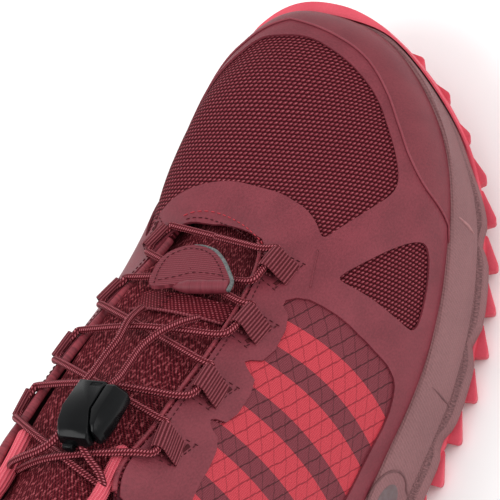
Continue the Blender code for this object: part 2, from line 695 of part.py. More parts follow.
def make_band(material, collection):
    """Woven band across the tongue, which holds the tucked ends of the lace."""
    f = np.linspace(0, 1, 9)[None, :]
    g = np.linspace(-0.5, 0.5, 3)[:, None] * BAND_WIDTH
    start, end = np.array(BAND_FROM), np.array(BAND_TO)
    way = (end - start) / np.linalg.norm(end - start)
    x = start[0] + (end[0] - start[0]) * f - way[1] * g
    y = start[1] + (end[1] - start[1]) * f + way[0] * g
    points = over_tongue(x, y, BAND_LIFT).reshape(-1, 3)
    shape = add_object("tongue_band", points, sheet_faces(*x.shape, False), material, collection)
    solidify(facing_up(shape), BAND_THICK, 1)


def make_coral_loops(material, collection):
    """Gathered webbing at the top eyelets, flat in section and laid along the tongue's edges."""
    n = 8
    angles = np.linspace(0, 2 * math.pi, n, endpoint=False)
    for name, (half_width, plan) in CORAL_LOOPS.items():
        route = np.array(plan)
        middle = over_tongue(route[:, 0], route[:, 1], 0.0)
        points, faces = [], []
        for k, place in enumerate(middle):
            side = over_tongue(place[0], place[1] + 1.0, 0.0) - place
            side = side / np.linalg.norm(side)
            up = np.cross(middle[min(k + 1, 2)] - middle[max(k - 1, 0)], side)
            up = up / np.linalg.norm(up)
            up = up * np.sign(up[2])
            place = place + up * (CORAL_HALF_THICK + GAP)
            points += [
                place + side * half_width * math.cos(a) + up * CORAL_HALF_THICK * math.sin(a)
                for a in angles
            ]
        for r in range(len(plan) - 1):
            for i in range(n):
                j = (i + 1) % n
                faces.append((r * n + i, r * n + j, (r + 1) * n + j, (r + 1) * n + i))
        faces += [tuple(range(n)), tuple(range(len(points) - 1, len(points) - n - 1, -1))]
        outward(add_object(name, points, faces, material, collection))


def main():
    for old in list(bpy.data.objects):
        bpy.data.objects.remove(old)
    shoe = bpy.data.collections.new("trail_shoe")
    bpy.context.scene.collection.children.link(shoe)
    coral = smooth_material("coral_rubber", (0.86, 0.12, 0.17), 0.6)
    rose = smooth_material("rose_foam", (0.27, 0.13, 0.13), 0.75)
    maroon = smooth_material("maroon_mesh", (0.13, 0.015, 0.03), 0.8)
    burgundy = smooth_material("burgundy_film", (0.22, 0.045, 0.065), 0.6)
    webbing = smooth_material("burgundy_webbing", (0.16, 0.03, 0.045), 0.8)
    coral_webbing = smooth_material("coral_webbing", (0.80, 0.10, 0.14), 0.8)
    foam = smooth_material("dark_foam", (0.03, 0.012, 0.016), 0.9)
    plastic = smooth_material("black_plastic", (0.008, 0.008, 0.009), 0.3)
    make_outsole(coral, shoe)
    make_midsole(rose, shoe)
    make_insole(foam, shoe)
    make_upper(maroon, shoe)
    make_tongue(maroon, shoe)
    overlay_strip("toe_rand", RAND_S, [RAND_LOW] * len(RAND_S), RAND_HIGH, 4, burgundy, shoe)
    overlay_strip("eyestay", STAY_S, STAY_LOW, [STAY_HIGH] * len(STAY_S), 3, burgundy, shoe)
    overlay_quad("band_front", BAND_FRONT, 6, 3, burgundy, shoe)
    overlay_quad("band_rear", BAND_REAR, 6, 3, burgundy, shoe)
    for side, places in (("outer", OUTER_LOOPS), ("inner", INNER_LOOPS)):
        for k, s in enumerate(places):
            make_loop(f"lace_loop_{side}_{k + 1}", s, webbing, shoe)
    make_laces(webbing, shoe)
    make_lock(plastic, shoe)
    make_tab(webbing, shoe)
    make_band(webbing, shoe)
    make_coral_loops(coral_webbing, shoe)


if __name__ == "__main__":
    main()
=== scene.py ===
"""Looks of a low trail shoe for the right foot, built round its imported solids.

The upper, its welded films and its lining follow one table of sections round the last, in
millimetres from the back of the heel, and are moved to the frame in metres when they become meshes.
"""

import math
from contextlib import contextmanager

import bmesh
import bpy
import numpy as np
from bpy.props import FloatProperty, FloatVectorProperty, PointerProperty
from mathutils import Matrix
from mathutils.geometry import delaunay_2d_cdt


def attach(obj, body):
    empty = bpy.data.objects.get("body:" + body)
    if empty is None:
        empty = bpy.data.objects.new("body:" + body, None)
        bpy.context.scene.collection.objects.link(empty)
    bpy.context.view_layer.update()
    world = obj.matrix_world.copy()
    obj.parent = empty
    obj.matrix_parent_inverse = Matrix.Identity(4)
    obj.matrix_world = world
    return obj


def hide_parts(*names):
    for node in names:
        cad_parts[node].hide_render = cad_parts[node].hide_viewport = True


bl_info = {
    "name": "Trail shoe",
    "version": (1, 0, 0),
    "blender": (4, 5, 0),
    "location": "View3D > Sidebar > Shoe",
    "description": "Builds the finished surfaces of a low trail shoe with a cord lock",
    "category": "Object",
}

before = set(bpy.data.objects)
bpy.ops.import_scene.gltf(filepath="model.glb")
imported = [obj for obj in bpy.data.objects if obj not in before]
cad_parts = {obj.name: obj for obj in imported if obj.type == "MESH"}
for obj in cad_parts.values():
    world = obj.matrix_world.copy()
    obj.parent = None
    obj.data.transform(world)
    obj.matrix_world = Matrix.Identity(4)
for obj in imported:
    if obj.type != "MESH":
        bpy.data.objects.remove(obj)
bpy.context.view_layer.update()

# Metres in a millimetre, the photograph's side in pixels and the camera's sensor in millimetres
MM = 0.001
IMAGE_SIDE = 500
SENSOR = 36.0
# Middle of the shoe, from the back of the heel and the heel's centre line
MIDDLE = np.array([137.024, -5.430, 0.0])

# Room between neighbouring pieces; wall of the upper's solid, and of the shell that shows
GAP = 0.35
WALL, SHELL = 2.0, 1.4
# Sections round the last: lower edge, opening, and the slopes of the wall between them
SECTION_COLUMNS = ("foot_x", "foot_y", "top_x", "top_y", "top_z", "rise", "lean", "run", "pitch")
SECTIONS = {
    "toe": (271.2, 10.5, 198.0, 9.0, 58.8, 20, 0.00, 40, 13),
    "toe_outer": (265.5, -13.0, 196.3, 2.5, 59.5, 20, 0.00, 38, 16),
    "little_toe": (251.0, -29.6, 191.5, -5.5, 61.5, 20, 0.00, 34, 22),
    "outer_front": (229.5, -41.8, 184.0, -11.5, 65.0, 21, 0.02, 30, 28),
    "outer_ball": (200.0, -47.8, 168.0, -14.8, 73.5, 22, 0.04, 26, 34),
    "outer_ball_rear": (168.0, -48.6, 148.0, -15.5, 84.9, 24, 0.04, 26, 39),
    "outer_waist": (135.0, -42.5, 124.0, -14.4, 98.4, 28, 0.04, 26, 45),
    "outer_instep": (105.0, -36.5, 101.0, -14.8, 108.8, 32, 0.05, 24, 50),
    "outer_ankle": (74.0, -35.0, 70.0, -28.5, 88.0, 26, 0.06, 16, 80),
    "outer_heel": (42.0, -33.5, 41.0, -29.0, 80.0, 22, 0.07, 14, 88),
    "outer_counter": (14.0, -23.5, 16.5, -19.5, 88.0, 20, 0.08, 16, 96),
    "heel": (4.0, 0.0, 7.0, 0.0, 97.0, 20, 0.08, 18, 102),
    "inner_counter": (14.0, 23.0, 16.5, 19.0, 88.0, 20, 0.08, 16, 96),
    "inner_heel": (42.0, 32.0, 41.0, 27.0, 80.0, 22, 0.07, 14, 88),
    "inner_ankle": (74.0, 30.0, 70.0, 26.5, 89.0, 26, 0.06, 16, 80),
    "inner_instep": (105.0, 28.0, 101.0, 25.2, 107.6, 32, 0.05, 22, 60),
    "inner_waist": (135.0, 31.5, 124.0, 25.4, 99.0, 26, 0.02, 22, 50),
    "inner_ball_rear": (168.0, 36.4, 147.5, 24.6, 86.8, 18, 0.00, 22, 43),
    "inner_ball": (200.0, 38.6, 167.0, 23.0, 74.9, 15, 0.00, 21, 36),
    "inner_front": (228.0, 37.8, 183.0, 20.6, 65.6, 14.5, 0.00, 23, 29),
    "big_toe": (249.0, 33.0, 191.5, 19.0, 61.8, 15.5, 0.00, 29, 22),
    "toe_inner": (264.3, 24.3, 196.3, 15.3, 59.7, 18, 0.00, 36, 16),
}
SECTION_COUNT = len(SECTIONS)
HEEL = list(SECTIONS).index("heel")
LAST = {
    column: np.array([row[i] for row in SECTIONS.values()], float)
    for i, column in enumerate(SECTION_COLUMNS)
}
# Length of one section round the last and of one wall from sole to opening, for even meshing
SECTION_MM, WALL_MM = 24.0, 68.0

# Mesh of the upper, and the height at which the opening's edge is read
UPPER_STEP, UPPER_ROWS, EDGE_T = 10, 44, 0.99
# Padded roll of the collar: sections, height, fade at its ends, radius there and swell along it, and
# its depth inside the shell with the share of the radius that adds to it
COLLAR_FROM, COLLAR_TO, COLLAR_T, COLLAR_FADE, COLLAR_THIN, COLLAR_SWELL = 6.9, 15.1, 0.985, 0.8, 1.2, 1.9
COLLAR_SINK, COLLAR_SHARE = 0.6, 0.4
# Binding of the throat: last section, depth, radius and flatness
BINDING_END, BINDING_SINK, BINDING_RADIUS, BINDING_FLAT = 6.95, 0.55, 1.2, 0.6
# Heights along the shoe: footbed, rim over it and top of the outsole; ridge line of the upper
HEIGHT_X = (0.0, 20.0, 72.0, 105.0, 140.0, 190.0, 222.0, 248.0, 278.0)
BED_Z = (31.0, 30.5, 28.4, 26.3, 24.0, 22.7, 24.6, 28.6, 34.5)
RIM_OVER_BED = (9.0, 8.4, 6.2, 5.0, 4.6, 4.5, 4.2, 3.6, 2.0)
SOLE_Z = (9.5, 6.0, 6.0, 8.4, 6.0, 6.0, 10.8, 18.0, 29.0)
RIDGE_X = (0.0, 101.0, 198.0, 235.0, 262.0, 275.0)
RIDGE_Z = (107.0, 107.0, 59.0, 52.0, 45.0, 32.0)

# Stations along the tongue, its thickness, the rounding of its edge and its mesh
TONGUE_COLUMNS = ("x", "middle_y", "middle_z", "half_width", "drop")
TONGUE_STATIONS = (
    (77.0, 2.5, 130.0, 15.5, 6.0),
    (88.0, 3.6, 121.0, 16.6, 8.5),
    (101.0, 4.6, 112.2, 17.4, 10.2),
    (124.0, 4.2, 102.2, 22.4, 13.4),
    (147.0, 4.0, 89.0, 23.3, 11.8),
    (165.0, 3.9, 77.4, 22.5, 9.6),
    (178.0, 4.5, 68.4, 21.0, 7.5),
    (190.0, 7.5, 60.0, 17.5, 5.0),
    (198.0, 8.5, 55.7, 14.0, 3.0),
    (209.0, 9.0, 52.6, 9.0, 1.5),
)
TONGUE_TABLE = {
    column: tuple(row[i] for row in TONGUE_STATIONS) for i, column in enumerate(TONGUE_COLUMNS)
}
TONGUE_THICK, TONGUE_ROUND, TONGUE_ROWS, TONGUE_FIBRES = 3.5, 0.9, 70, 37

# Cloth map: the shoe's middle line in plan, and how the cloth runs down over the toe and the heel
WEAVE_X, WEAVE_Y, WEAVE_NEAR = (0, 101, 165, 198, 272), (0, 1.5, 3.5, 9, 10.5), 14
WEAVE_FRONT, WEAVE_FRONT_RUN, WEAVE_FRONT_Z, WEAVE_FRONT_FALL = 232, 30, 50, 0.8
WEAVE_REAR, WEAVE_REAR_RUN, WEAVE_REAR_Z, WEAVE_REAR_FALL = 40, 35, 60, 0.9
# Camera: azimuth, elevation and roll in degrees, distance in mm, focal length in pixels, aim in mm
CAMERA_TURN = (-29.97, 54.05, -50.68)
CAMERA_DISTANCE = 787.9
CAMERA_FOCAL = 2736.7
CAMERA_AIM = np.array([194.57, 7.56, 40.0])
# Search for a pixel's place on a surface: sections, heights, step of the slopes and longest stride
CAST_SECTIONS, CAST_HEIGHTS = np.linspace(-4.0, 8.0, 481), np.linspace(0.0, 1.0, 121)
CAST_TURNS, CAST_STEP, CAST_STRIDE = 3, 0.002, 0.05

# Outlines of the outer side's panels, as pixels of the photograph
TOE_WINDOW_PX = (
    (281, 37), (310, 38), (335, 53), (360, 75), (375, 95), (385, 120), (394, 150), (398, 174),
    (397, 187), (389, 198), (370, 210), (340, 229), (322, 242), (317, 226), (303, 208), (285, 197),
    (260, 190), (232, 184),
)
SIDE_WINDOW_PX = (
    (337, 277), (378, 255), (418, 241), (427, 249), (427, 275), (420, 315), (413, 331), (405, 330),
    (383, 311), (342, 285),
)
RIPSTOP_PX = (
    (280, 303), (302, 298), (330, 312), (365, 345), (391, 374), (393, 390), (385, 420), (366, 455),
    (345, 497),
)
RIPSTOP_LOBES_PX = (
    (203, 479), (218.7, 442), (209, 428), (209.6, 418), (230, 425), (256, 385), (246, 370),
    (243, 361), (268, 362), (290, 322),
)
RAND_RIDGE_PX = (
    (287, 22), (305, 25), (340, 40), (370, 65), (389, 100), (399, 130), (409, 160), (424, 190),
    (445, 226),
)
# Where the panels run on behind the photograph's edge, as section and height on the upper
RIPSTOP_REAR = ((7.2, 0.16), (7.25, 0.72))
# Run of the ripstop's bars, as pixels of the photograph, and the panel's middle
RIPSTOP_RUN_PX, RIPSTOP_MIDDLE = ((302, 298), (391, 374)), (5.0, 0.5)
# Lower and upper edge of the films, as heights on the upper
FILM_LOW, FILM_HIGH = 0.045, 0.985
# The film's lip over the tongue at the toe end of the throat, in sections and height
THROAT_FRONT, THROAT_LIP = 2.5, 0.05
# Edge of the film from the top eyelet to the heel
FILM_EDGE = ((7.0, 0.985), (7.35, 0.86), (7.9, 0.62), (8.8, 0.47), (9.8, 0.44), (11.0, 0.46))
# Films: spacing of their meshes and smooth edges, room beside an edge, lift of the face and thickness
FILM_STEP, EDGE_STEP, EDGE_ROOM = 1.9, 3.0, 0.55
FILM_LIFT, FILM_THICK = 0.85, 0.65
RAND_LIFT, RAND_THICK = 1.25, 0.4
RIPSTOP_LIFT, RIPSTOP_THICK, RIPSTOP_GROW, RIPSTOP_STEPS = 0.16, 0.12, 1.05, (2.2, 2.4)
# How the toe's second layer runs out: sections past its ridge, height over the film's foot, slant there
RAND_TAIL, RAND_CUT = (0.25, 0.005), 0.1
# Raised lines on the films: lift and radius
BEAD_LIFT, BEAD_RADIUS = 1.15, 0.34
SEAM_LIFT, SEAM_RADIUS = 0.82, 0.28
# Fine lines on the film and the midsole, as pixels of the photograph
THROAT_STITCH_PX = ((187, 217), (205, 213), (225, 217), (250, 232), (262, 245))
FILM_SEAM_PX = ((318, 252), (314, 270), (310, 289))
FOAM_CUT_PX = ((432, 387), (439, 394), (445, 401), (449, 407))
FOAM_RIDGE_PX = ((459, 217), (466, 224), (474, 234))
# Ovals low on the side: middle, half length and half width, and the direction of their length
POD_PX = ((386, 500), 31, 17)
POD_EYE_PX = ((386, 503), 20, 9)
POD_LEAN = (-0.42, 0.91)
# Radii of the lines on the midsole and their step; the eye's thickness, and its rings with their heights
FOAM_CUT, FOAM_RIDGE, POD_CUT, FOAM_LINE_STEP, POD_THICK = 0.32, 0.5, 0.36, 0.8, 0.5
POD_RINGS, POD_DOME = (0.02, 0.4, 0.7, 0.88, 1.0), (0.12, 0.14, 0.2, 0.3, 0.02)

# Lace loops: sections from the toe back, height on the upper, lift over the film, length and eye
OUTER_LOOPS = (3.40, 4.47, 5.43, 6.26)
INNER_LOOPS = (19.35, 17.92, 16.90, 16.06)
LOOP_T, LOOP_LIFT, LOOP_LENGTH = 0.93, 0.7, 8.0
LOOP_EYE_U, LOOP_EYE_V = -1.6, 1.9
# Turn of each outer loop, in degrees, its heel end towards the tongue
OUTER_TURNS = (38.0, 32.0, 22.0, 12.0)
# The inner loops lie flatter
INNER_LIFT, INNER_SQUASH = -0.1, 0.7
# Thickness of the overlays, and of the lace, its height over the tongue, and the tube's step and sides
OVERLAY = 0.7
LACE = 2.0
LACE_OVER, LACE_STEP, LACE_SIDES = 1.7, 0.9, 12
# Rise of a lace over its neighbour at a crossing, and its dip under it
LACE_RISE, LACE_DIP = 1.45, -0.8
# Room beside an inner loop, and how far the lace leaves it lower and further in
INNER_ROOM, INNER_LOWER, INNER_IN = 0.1, 0.9, 1.5
# Plan of the top eyelets, outer and inner
TOP_EYELETS = ((103.2, -9.8), (105.0, 17.8))


def to_frame(points):
    """From millimetres from the back of the heel to the frame's metres."""
    return (np.asarray(points, float) - MIDDLE) * MM


def along(table_x, table_y, x):
    """Smooth curve through a short table of heights along the shoe."""
    table_x, table_y = np.array(table_x, float), np.array(table_y, float)
    x = np.clip(np.asarray(x, float), table_x[0], table_x[-1])
    chord = np.diff(table_y) / np.diff(table_x)
    before, after = chord[:-1], chord[1:]
    level = before * after <= 0
    shared = 2 * before * after / np.where(level, 1.0, before + after)
    slope = np.concatenate([chord[:1], np.where(level, 0.0, shared), chord[-1:]])
    i = np.clip(np.searchsorted(table_x, x) - 1, 0, len(table_x) - 2)
    step = table_x[i + 1] - table_x[i]
    f = (x - table_x[i]) / step
    start = table_y[i] * (1 + 2 * f) * (1 - f) ** 2 + slope[i] * step * f * (1 - f) ** 2
    end = table_y[i + 1] * f * f * (3 - 2 * f) + slope[i + 1] * step * f * f * (f - 1)
    return start + end


def bed_z(x):
    return along(HEIGHT_X, BED_Z, x)


def rim_z(x):
    return bed_z(x) + along(HEIGHT_X, RIM_OVER_BED, x)


def sole_z(x):
    return along(HEIGHT_X, SOLE_Z, x)


def through(p0, p1, p2, p3, f):
    """Smooth curve from p1 to p2 between two further points."""
    bend = 2 * p0 - 5 * p1 + 4 * p2 - p3
    return p1 + 0.5 * f * ((p2 - p0) + f * (bend + f * (3 * (p1 - p2) + p3 - p0)))


def ramp(value, low, high):
    """0 at low and 1 at high, smooth between."""
    f = np.clip((value - low) / (high - low), 0, 1)
    return f * f * (3 - 2 * f)


def run_length(points):
    """Distance along a route up to each of its points."""
    return np.concatenate([[0], np.cumsum(np.linalg.norm(np.diff(points, axis=0), axis=1))])


def unit(vector):
    return vector / np.linalg.norm(vector, axis=-1, keepdims=True)


def around(column, s):
    """A column of the section table at section number s, on a closed curve."""
    values = LAST[column]
    s = np.asarray(s, float)
    i = np.floor(s).astype(int)
    return through(*(values[(i + k) % SECTION_COUNT] for k in (-1, 0, 1, 2)), s - i)


def feather(s):
    """Plan of the upper's lower edge."""
    return np.stack([around("foot_x", s), around("foot_y", s)], axis=-1)


def plan_normal(prefix, s):
    """Outward direction, in plan, of the loop of feather or top points."""
    step = 0.05
    dx = around(prefix + "_x", s + step) - around(prefix + "_x", s - step)
    dy = around(prefix + "_y", s + step) - around(prefix + "_y", s - step)
    length = np.hypot(dx, dy)
    return np.stack([-dy / length, dx / length], axis=-1)


def upper_point(s, t):
    """Outer face of the upper: s counts sections round the last, t is 0 at the sole and 1 at the opening."""
    s, t = np.broadcast_arrays(np.asarray(s, float), np.asarray(t, float))
    foot_x, foot_y = around("foot_x", s), around("foot_y", s)
    rise, run = around("rise", s), around("run", s)
    pitch = np.radians(around("pitch", s))
    out_foot, out_top = plan_normal("foot", s), plan_normal("top", s)
    foot = np.stack([foot_x, foot_y, bed_z(foot_x) + GAP], axis=-1)
    top = np.stack([around("top_x", s), around("top_y", s), around("top_z", s)], axis=-1)
    lean = (around("lean", s) * rise)[..., None] * out_foot
    low = foot + np.concatenate([lean, rise[..., None]], axis=-1)
    back = (run * np.cos(pitch))[..., None] * out_top
    high = top + np.concatenate([back, (-run * np.sin(pitch))[..., None]], axis=-1)
    t = t[..., None]
    return foot * (1 - t) ** 3 + 3 * low * t * (1 - t) ** 2 + 3 * high * t * t * (1 - t) + top * t**3


def upper_normal(s, t):
    """Outward direction of the upper's face."""
    ds, dt = 0.04, 0.01
    s, t = np.asarray(s, float), np.clip(t, dt, 1 - dt)
    along_s = upper_point(s + ds, t) - upper_point(s - ds, t)
    along_t = upper_point(s, t + dt) - upper_point(s, t - dt)
    return unit(np.cross(along_t, along_s))


def on_upper(s, t, lift):
    """Points over the upper's face."""
    return upper_point(s, t) + lift * upper_normal(s, t)


def tongue_row(column, x):
    return along(TONGUE_TABLE["x"], TONGUE_TABLE[column], x)


def tongue_z(x, y):
    """Top face of the tongue."""
    q = (y - tongue_row("middle_y", x)) / tongue_row("half_width", x)
    return tongue_row("middle_z", x) - tongue_row("drop", x) * q * q


def over_tongue(x, y, lift):
    """Points over the tongue's top face."""
    x, y, lift = np.broadcast_arrays(np.asarray(x, float), np.asarray(y, float), lift)
    return np.stack([x, y, tongue_z(x, y) + lift], axis=-1)


def camera_axes():
    """Right, up and back directions of the camera, and its place in millimetres."""
    azimuth, elevation, roll = np.radians(CAMERA_TURN)
    back = np.array([
        math.sin(azimuth) * math.cos(elevation),
        -math.cos(azimuth) * math.cos(elevation),
        math.sin(elevation),
    ])
    level = np.array([math.cos(azimuth), math.sin(azimuth), 0.0])
    upright = np.cross(back, level)
    right = math.cos(roll) * level + math.sin(roll) * upright
    up = math.cos(roll) * upright - math.sin(roll) * level
    return right, up, back, CAMERA_AIM + back * CAMERA_DISTANCE


def to_pixels(points):
    """Where the photograph shows points."""
    right, up, back, place = camera_axes()
    offset = points - place
    depth = -(offset @ back)
    return np.stack([
        IMAGE_SIDE / 2 + CAMERA_FOCAL * (offset @ right) / depth,
        IMAGE_SIDE / 2 - CAMERA_FOCAL * (offset @ up) / depth,
    ], axis=-1)


def cast(pixels, surface):
    """Section and height, on a surface round the last, of pixels on its outer side."""
    s, t = np.meshgrid(CAST_SECTIONS, CAST_HEIGHTS)
    seen = to_pixels(surface(s, t))
    across_s, across_t = np.gradient(seen, axis=1), np.gradient(seen, axis=0)
    near = across_s[..., 0] * across_t[..., 1] > across_s[..., 1] * across_t[..., 0]
    s, t, seen = s[near], t[near], seen[near]
    found = []
    for pixel in np.asarray(pixels, float):
        i = np.argmin(((seen - pixel) ** 2).sum(axis=-1))
        place = np.array([s[i], t[i]])
        for _ in range(CAST_TURNS):
            here = to_pixels(surface(*place))
            rates = np.stack([
                (to_pixels(surface(*(place + step))) - here) / CAST_STEP for step in CAST_STEP * np.eye(2)
            ], axis=-1)
            place = place + np.clip(np.linalg.solve(rates, pixel - here), -CAST_STRIDE, CAST_STRIDE)
        found.append(place)
    return np.array(found)


def cast_to_upper(pixels):
    return cast(pixels, upper_point)


def corners_cut(here, ahead):
    """Two points on each side between corners, near its ends."""
    pair = np.stack([0.75 * here + 0.25 * ahead, 0.25 * here + 0.75 * ahead], axis=1)
    return pair.reshape(-1, here.shape[1])


def rounded(outline, turns=2):
    """A closed outline with its corners cut back."""
    outline = np.asarray(outline, float)
    for _ in range(turns):
        outline = corners_cut(outline, np.roll(outline, -1, axis=0))
    return outline


def eased(route, turns=2):
    """An open route with its corners cut back."""
    for _ in range(turns):
        route = np.vstack([route[:1], corners_cut(route[:-1], route[1:]), route[-1:]])
    return route


def oval(middle, half_length, half_width, count=33):
    """A leaning oval of pixels, from its top round to its top again."""
    turn = np.linspace(0, 2 * math.pi, count)[:, None]
    lean = np.array(POD_LEAN)
    across = np.array([lean[1], -lean[0]])
    return np.array(middle) - half_length * np.cos(turn) * lean + half_width * np.sin(turn) * across


def spaced(points, step):
    """A route resampled on a smooth curve at an even step."""
    points = np.asarray(points, float)
    p = np.vstack([2 * points[0] - points[1], points, 2 * points[-1] - points[-2]])
    f = np.linspace(0, 1, 12, endpoint=False)[:, None]
    pieces = [through(*knots, f) for knots in zip(p[:-3], p[1:-2], p[2:-1], p[3:])]
    fine = np.vstack([*pieces, points[-1:]])
    length = run_length(fine)
    stops = np.linspace(0, length[-1], max(2, int(round(length[-1] / step)) + 1))
    return np.stack([np.interp(stops, length, column) for column in fine.T], axis=-1)


def weave_uv(points):
    """Cloth coordinates in millimetres: across from the ridge line, and along the shoe."""
    x, y, z = points[..., 0], points[..., 1], points[..., 2]
    across = y - np.interp(x, WEAVE_X, WEAVE_Y)
    drop = np.maximum(0, np.interp(x, RIDGE_X, RIDGE_Z) - z)
    front = np.clip((x - WEAVE_FRONT) / WEAVE_FRONT_RUN, 0, 1)
    rear = np.clip((WEAVE_REAR - x) / WEAVE_REAR_RUN, 0, 1)
    u = across * (1 + (1 - front) * (1 - rear) * drop / np.maximum(np.abs(across), WEAVE_NEAR))
    turned = WEAVE_REAR_FALL * rear * (z - WEAVE_REAR_Z) - WEAVE_FRONT_FALL * front * (z - WEAVE_FRONT_Z)
    return np.stack([u, x + turned], axis=-1)


class Shade:
    """A value in a material's node tree; arithmetic on it adds Math nodes."""

    def __init__(self, finish, socket):
        self.finish, self.socket = finish, socket

    def _math(self, operation, *values):
        return self.finish.node("ShaderNodeMath", {"operation": operation}, dict(enumerate(values)))

    def __add__(self, other):
        return self._math("ADD", self, other)

    def __sub__(self, other):
        return self._math("SUBTRACT", self, other)

    def __rsub__(self, other):
        return self._math("SUBTRACT", other, self)

    def __mul__(self, other):
        return self._math("MULTIPLY", self, other)

    def __truediv__(self, other):
        return self._math("DIVIDE", self, other)

    def __gt__(self, other):
        return self._math("GREATER_THAN", self, other)

    __radd__, __rmul__ = __add__, __mul__

    def call(self, operation, *others):
        return self._math(operation, self, *others)

    def sine(self, period):
        return (self * (2 * math.pi / period)).call("SINE")

    def fraction(self, period):
        return (self / period).call("FRACT")

    def clamped(self):
        return self.finish.node("ShaderNodeClamp", {}, {0: self})

    def between(self, low, high):
        """0 at low and below, 1 at high and above, smooth between."""
        settings = {"interpolation_type": "SMOOTHSTEP"}
        return self.finish.node("ShaderNodeMapRange", settings, {0: self, 1: low, 2: high})


class Finish:
    """A material whose Principled shader is fed by named node expressions."""

    def __init__(self, name, roughness, specular=0.22):
        self.material = bpy.data.materials.new(name)
        self.material.use_nodes = True
        self.tree = self.material.node_tree
        self.shader = self.tree.nodes["Principled BSDF"]
        self.shader.inputs["Roughness"].default_value = roughness
        self.shader.inputs["Specular IOR Level"].default_value = specular

    def node(self, kind, settings, sockets, output=0):
        """Any node, from its type, its settings and the values or links of its sockets."""
        node = self.tree.nodes.new(kind)
        for key, value in settings.items():
            setattr(node, key, value)
        for key, value in sockets.items():
            if isinstance(value, Shade):
                self.tree.links.new(value.socket, node.inputs[key])
            else:
                node.inputs[key].default_value = value
        return Shade(self, node.outputs[output])

    def uv(self, name):
        """The two coordinates of a piece's own map."""
        vector = self.node("ShaderNodeUVMap", {"uv_map": name}, {})
        return vector, *(self.node("ShaderNodeSeparateXYZ", {}, {0: vector}, k) for k in (0, 1))

    def object_noise(self, scale, detail=2.0):
        return self.uv_noise(self.node("ShaderNodeTexCoord", {}, {}, "Object"), scale, detail)

    def uv_noise(self, vector, scale, detail=2.0):
        return self.node("ShaderNodeTexNoise", {}, {"Vector": vector, "Scale": scale, "Detail": detail})

    def blend(self, factor, first, second):
        first, second = (v if isinstance(v, Shade) else (*v, 1.0) for v in (first, second))
        return self.node("ShaderNodeMix", {"data_type": "RGBA"}, {0: factor, 6: first, 7: second}, 2)

    def link(self, socket, value):
        self.tree.links.new(value.socket, self.shader.inputs[socket])

    def bump(self, height, depth_mm):
        sockets = {"Height": height, "Distance": depth_mm * MM}
        self.link("Normal", self.node("ShaderNodeBump", {}, sockets))

    def done(self, colour, roughness=None):
        """The material, once its colour and, if it varies, its roughness are linked."""
        self.link("Base Color", colour)
        if roughness is not None:
            self.link("Roughness", roughness)
        return self.material


def look():
    return bpy.context.scene.shoe_look


def knit_finish():
    """Open knitted mesh: staggered slanting knots over holes painted dark as shade, each knot with a painted
    highlight.
    """
    finish = Finish("knit_mesh", 0.8, 0.08)
    vector, u, v = finish.uv("weave")
    pitch = look().knit_pitch
    rise = 0.8 * pitch
    row = (v / rise).call("FLOOR")
    a = (u + row * (0.5 * pitch)).fraction(pitch) - 0.5
    b = v.fraction(rise) - 0.5
    long, thin = a * -0.75 + b * 0.66, a * 0.66 + b * 0.75
    # knot marks the yarn; the dark colour outside it is painted shade in the mesh's holes
    knot = 1 - (long * long * 2.6 + thin * thin * 6.0).between(0.5, 1.05)
    # The slanted mark on each knot is a painted highlight
    fleck_and_highlight = 1 - ((long - 0.08) * (long - 0.08) * 7.0 + thin * thin * 30.0).between(0.15, 1.0)
    mottle = finish.uv_noise(vector, 0.9)
    base = finish.blend(knot, look().knit_dark, look().knit_mid)
    finish.bump(knot + fleck_and_highlight * 0.5, 0.5)
    return finish.done(finish.blend((fleck_and_highlight * (mottle * 1.6 + 0.1)).clamped(), base, look().knit_highlight))


def film_finish(name, colour, shade):
    """Matt welded film with the cloth under it just telling."""
    finish = Finish(name, 0.55, 0.28)
    vector, u, v = finish.uv("weave")
    weave = u.sine(0.62) * v.sine(0.62)
    cloud = finish.uv_noise(vector, 0.09, 3.0)
    grain = finish.uv_noise(vector, 1.3, 3.0)
    finish.bump(weave * 0.25 + grain * 0.5, 0.06)
    tone = finish.blend((cloud * 0.45 + grain * 0.55).between(0.32, 0.68), shade, colour)
    return finish.done(tone, grain * 0.16 + 0.46)


def ripstop_finish(name, printed):
    """Ripstop cloth with a dark square grid; where printed, plain parallel coral bars."""
    finish = Finish(name, 0.62)
    vector, across, run = finish.uv("panel")
    pitch = look().ripstop_pitch
    wobble = finish.uv_noise(vector, 0.35) * 0.9
    skew = across * 0.64 - run * 0.77 + wobble
    level = run * 0.90 + across * 0.42 + wobble
    line = ((skew / pitch).call("PINGPONG", 0.5)).between(0.01, 0.06)
    rung = ((level / pitch).call("PINGPONG", 0.5)).between(0.015, 0.065)
    cell = (line * 0.6 + 0.4) * rung
    thread = (across + run * 0.5).sine(0.85) * (run - across * 0.5).sine(0.75) * 0.5 + 0.5
    speck = (thread * 0.6 + finish.uv_noise(vector, 2.2) * 0.5).between(0.3, 0.8)
    ground = finish.blend(speck, look().ripstop_shade, look().ripstop)
    grid = finish.blend(cell, look().ripstop_line, ground)
    finish.bump(cell * -0.6 + thread * 0.3, 0.18)
    if not printed:
        return finish.done(grid)
    past = across - look().bar_start
    inside = (past > 0.0) * (look().bar_width - past.fraction(look().bar_pitch) * look().bar_pitch > 0.0)
    coral = finish.blend(speck, look().print_shade, look().print_coral)
    inked = finish.blend(cell, look().print_line, coral)
    return finish.done(finish.blend(inside, grid, inked))


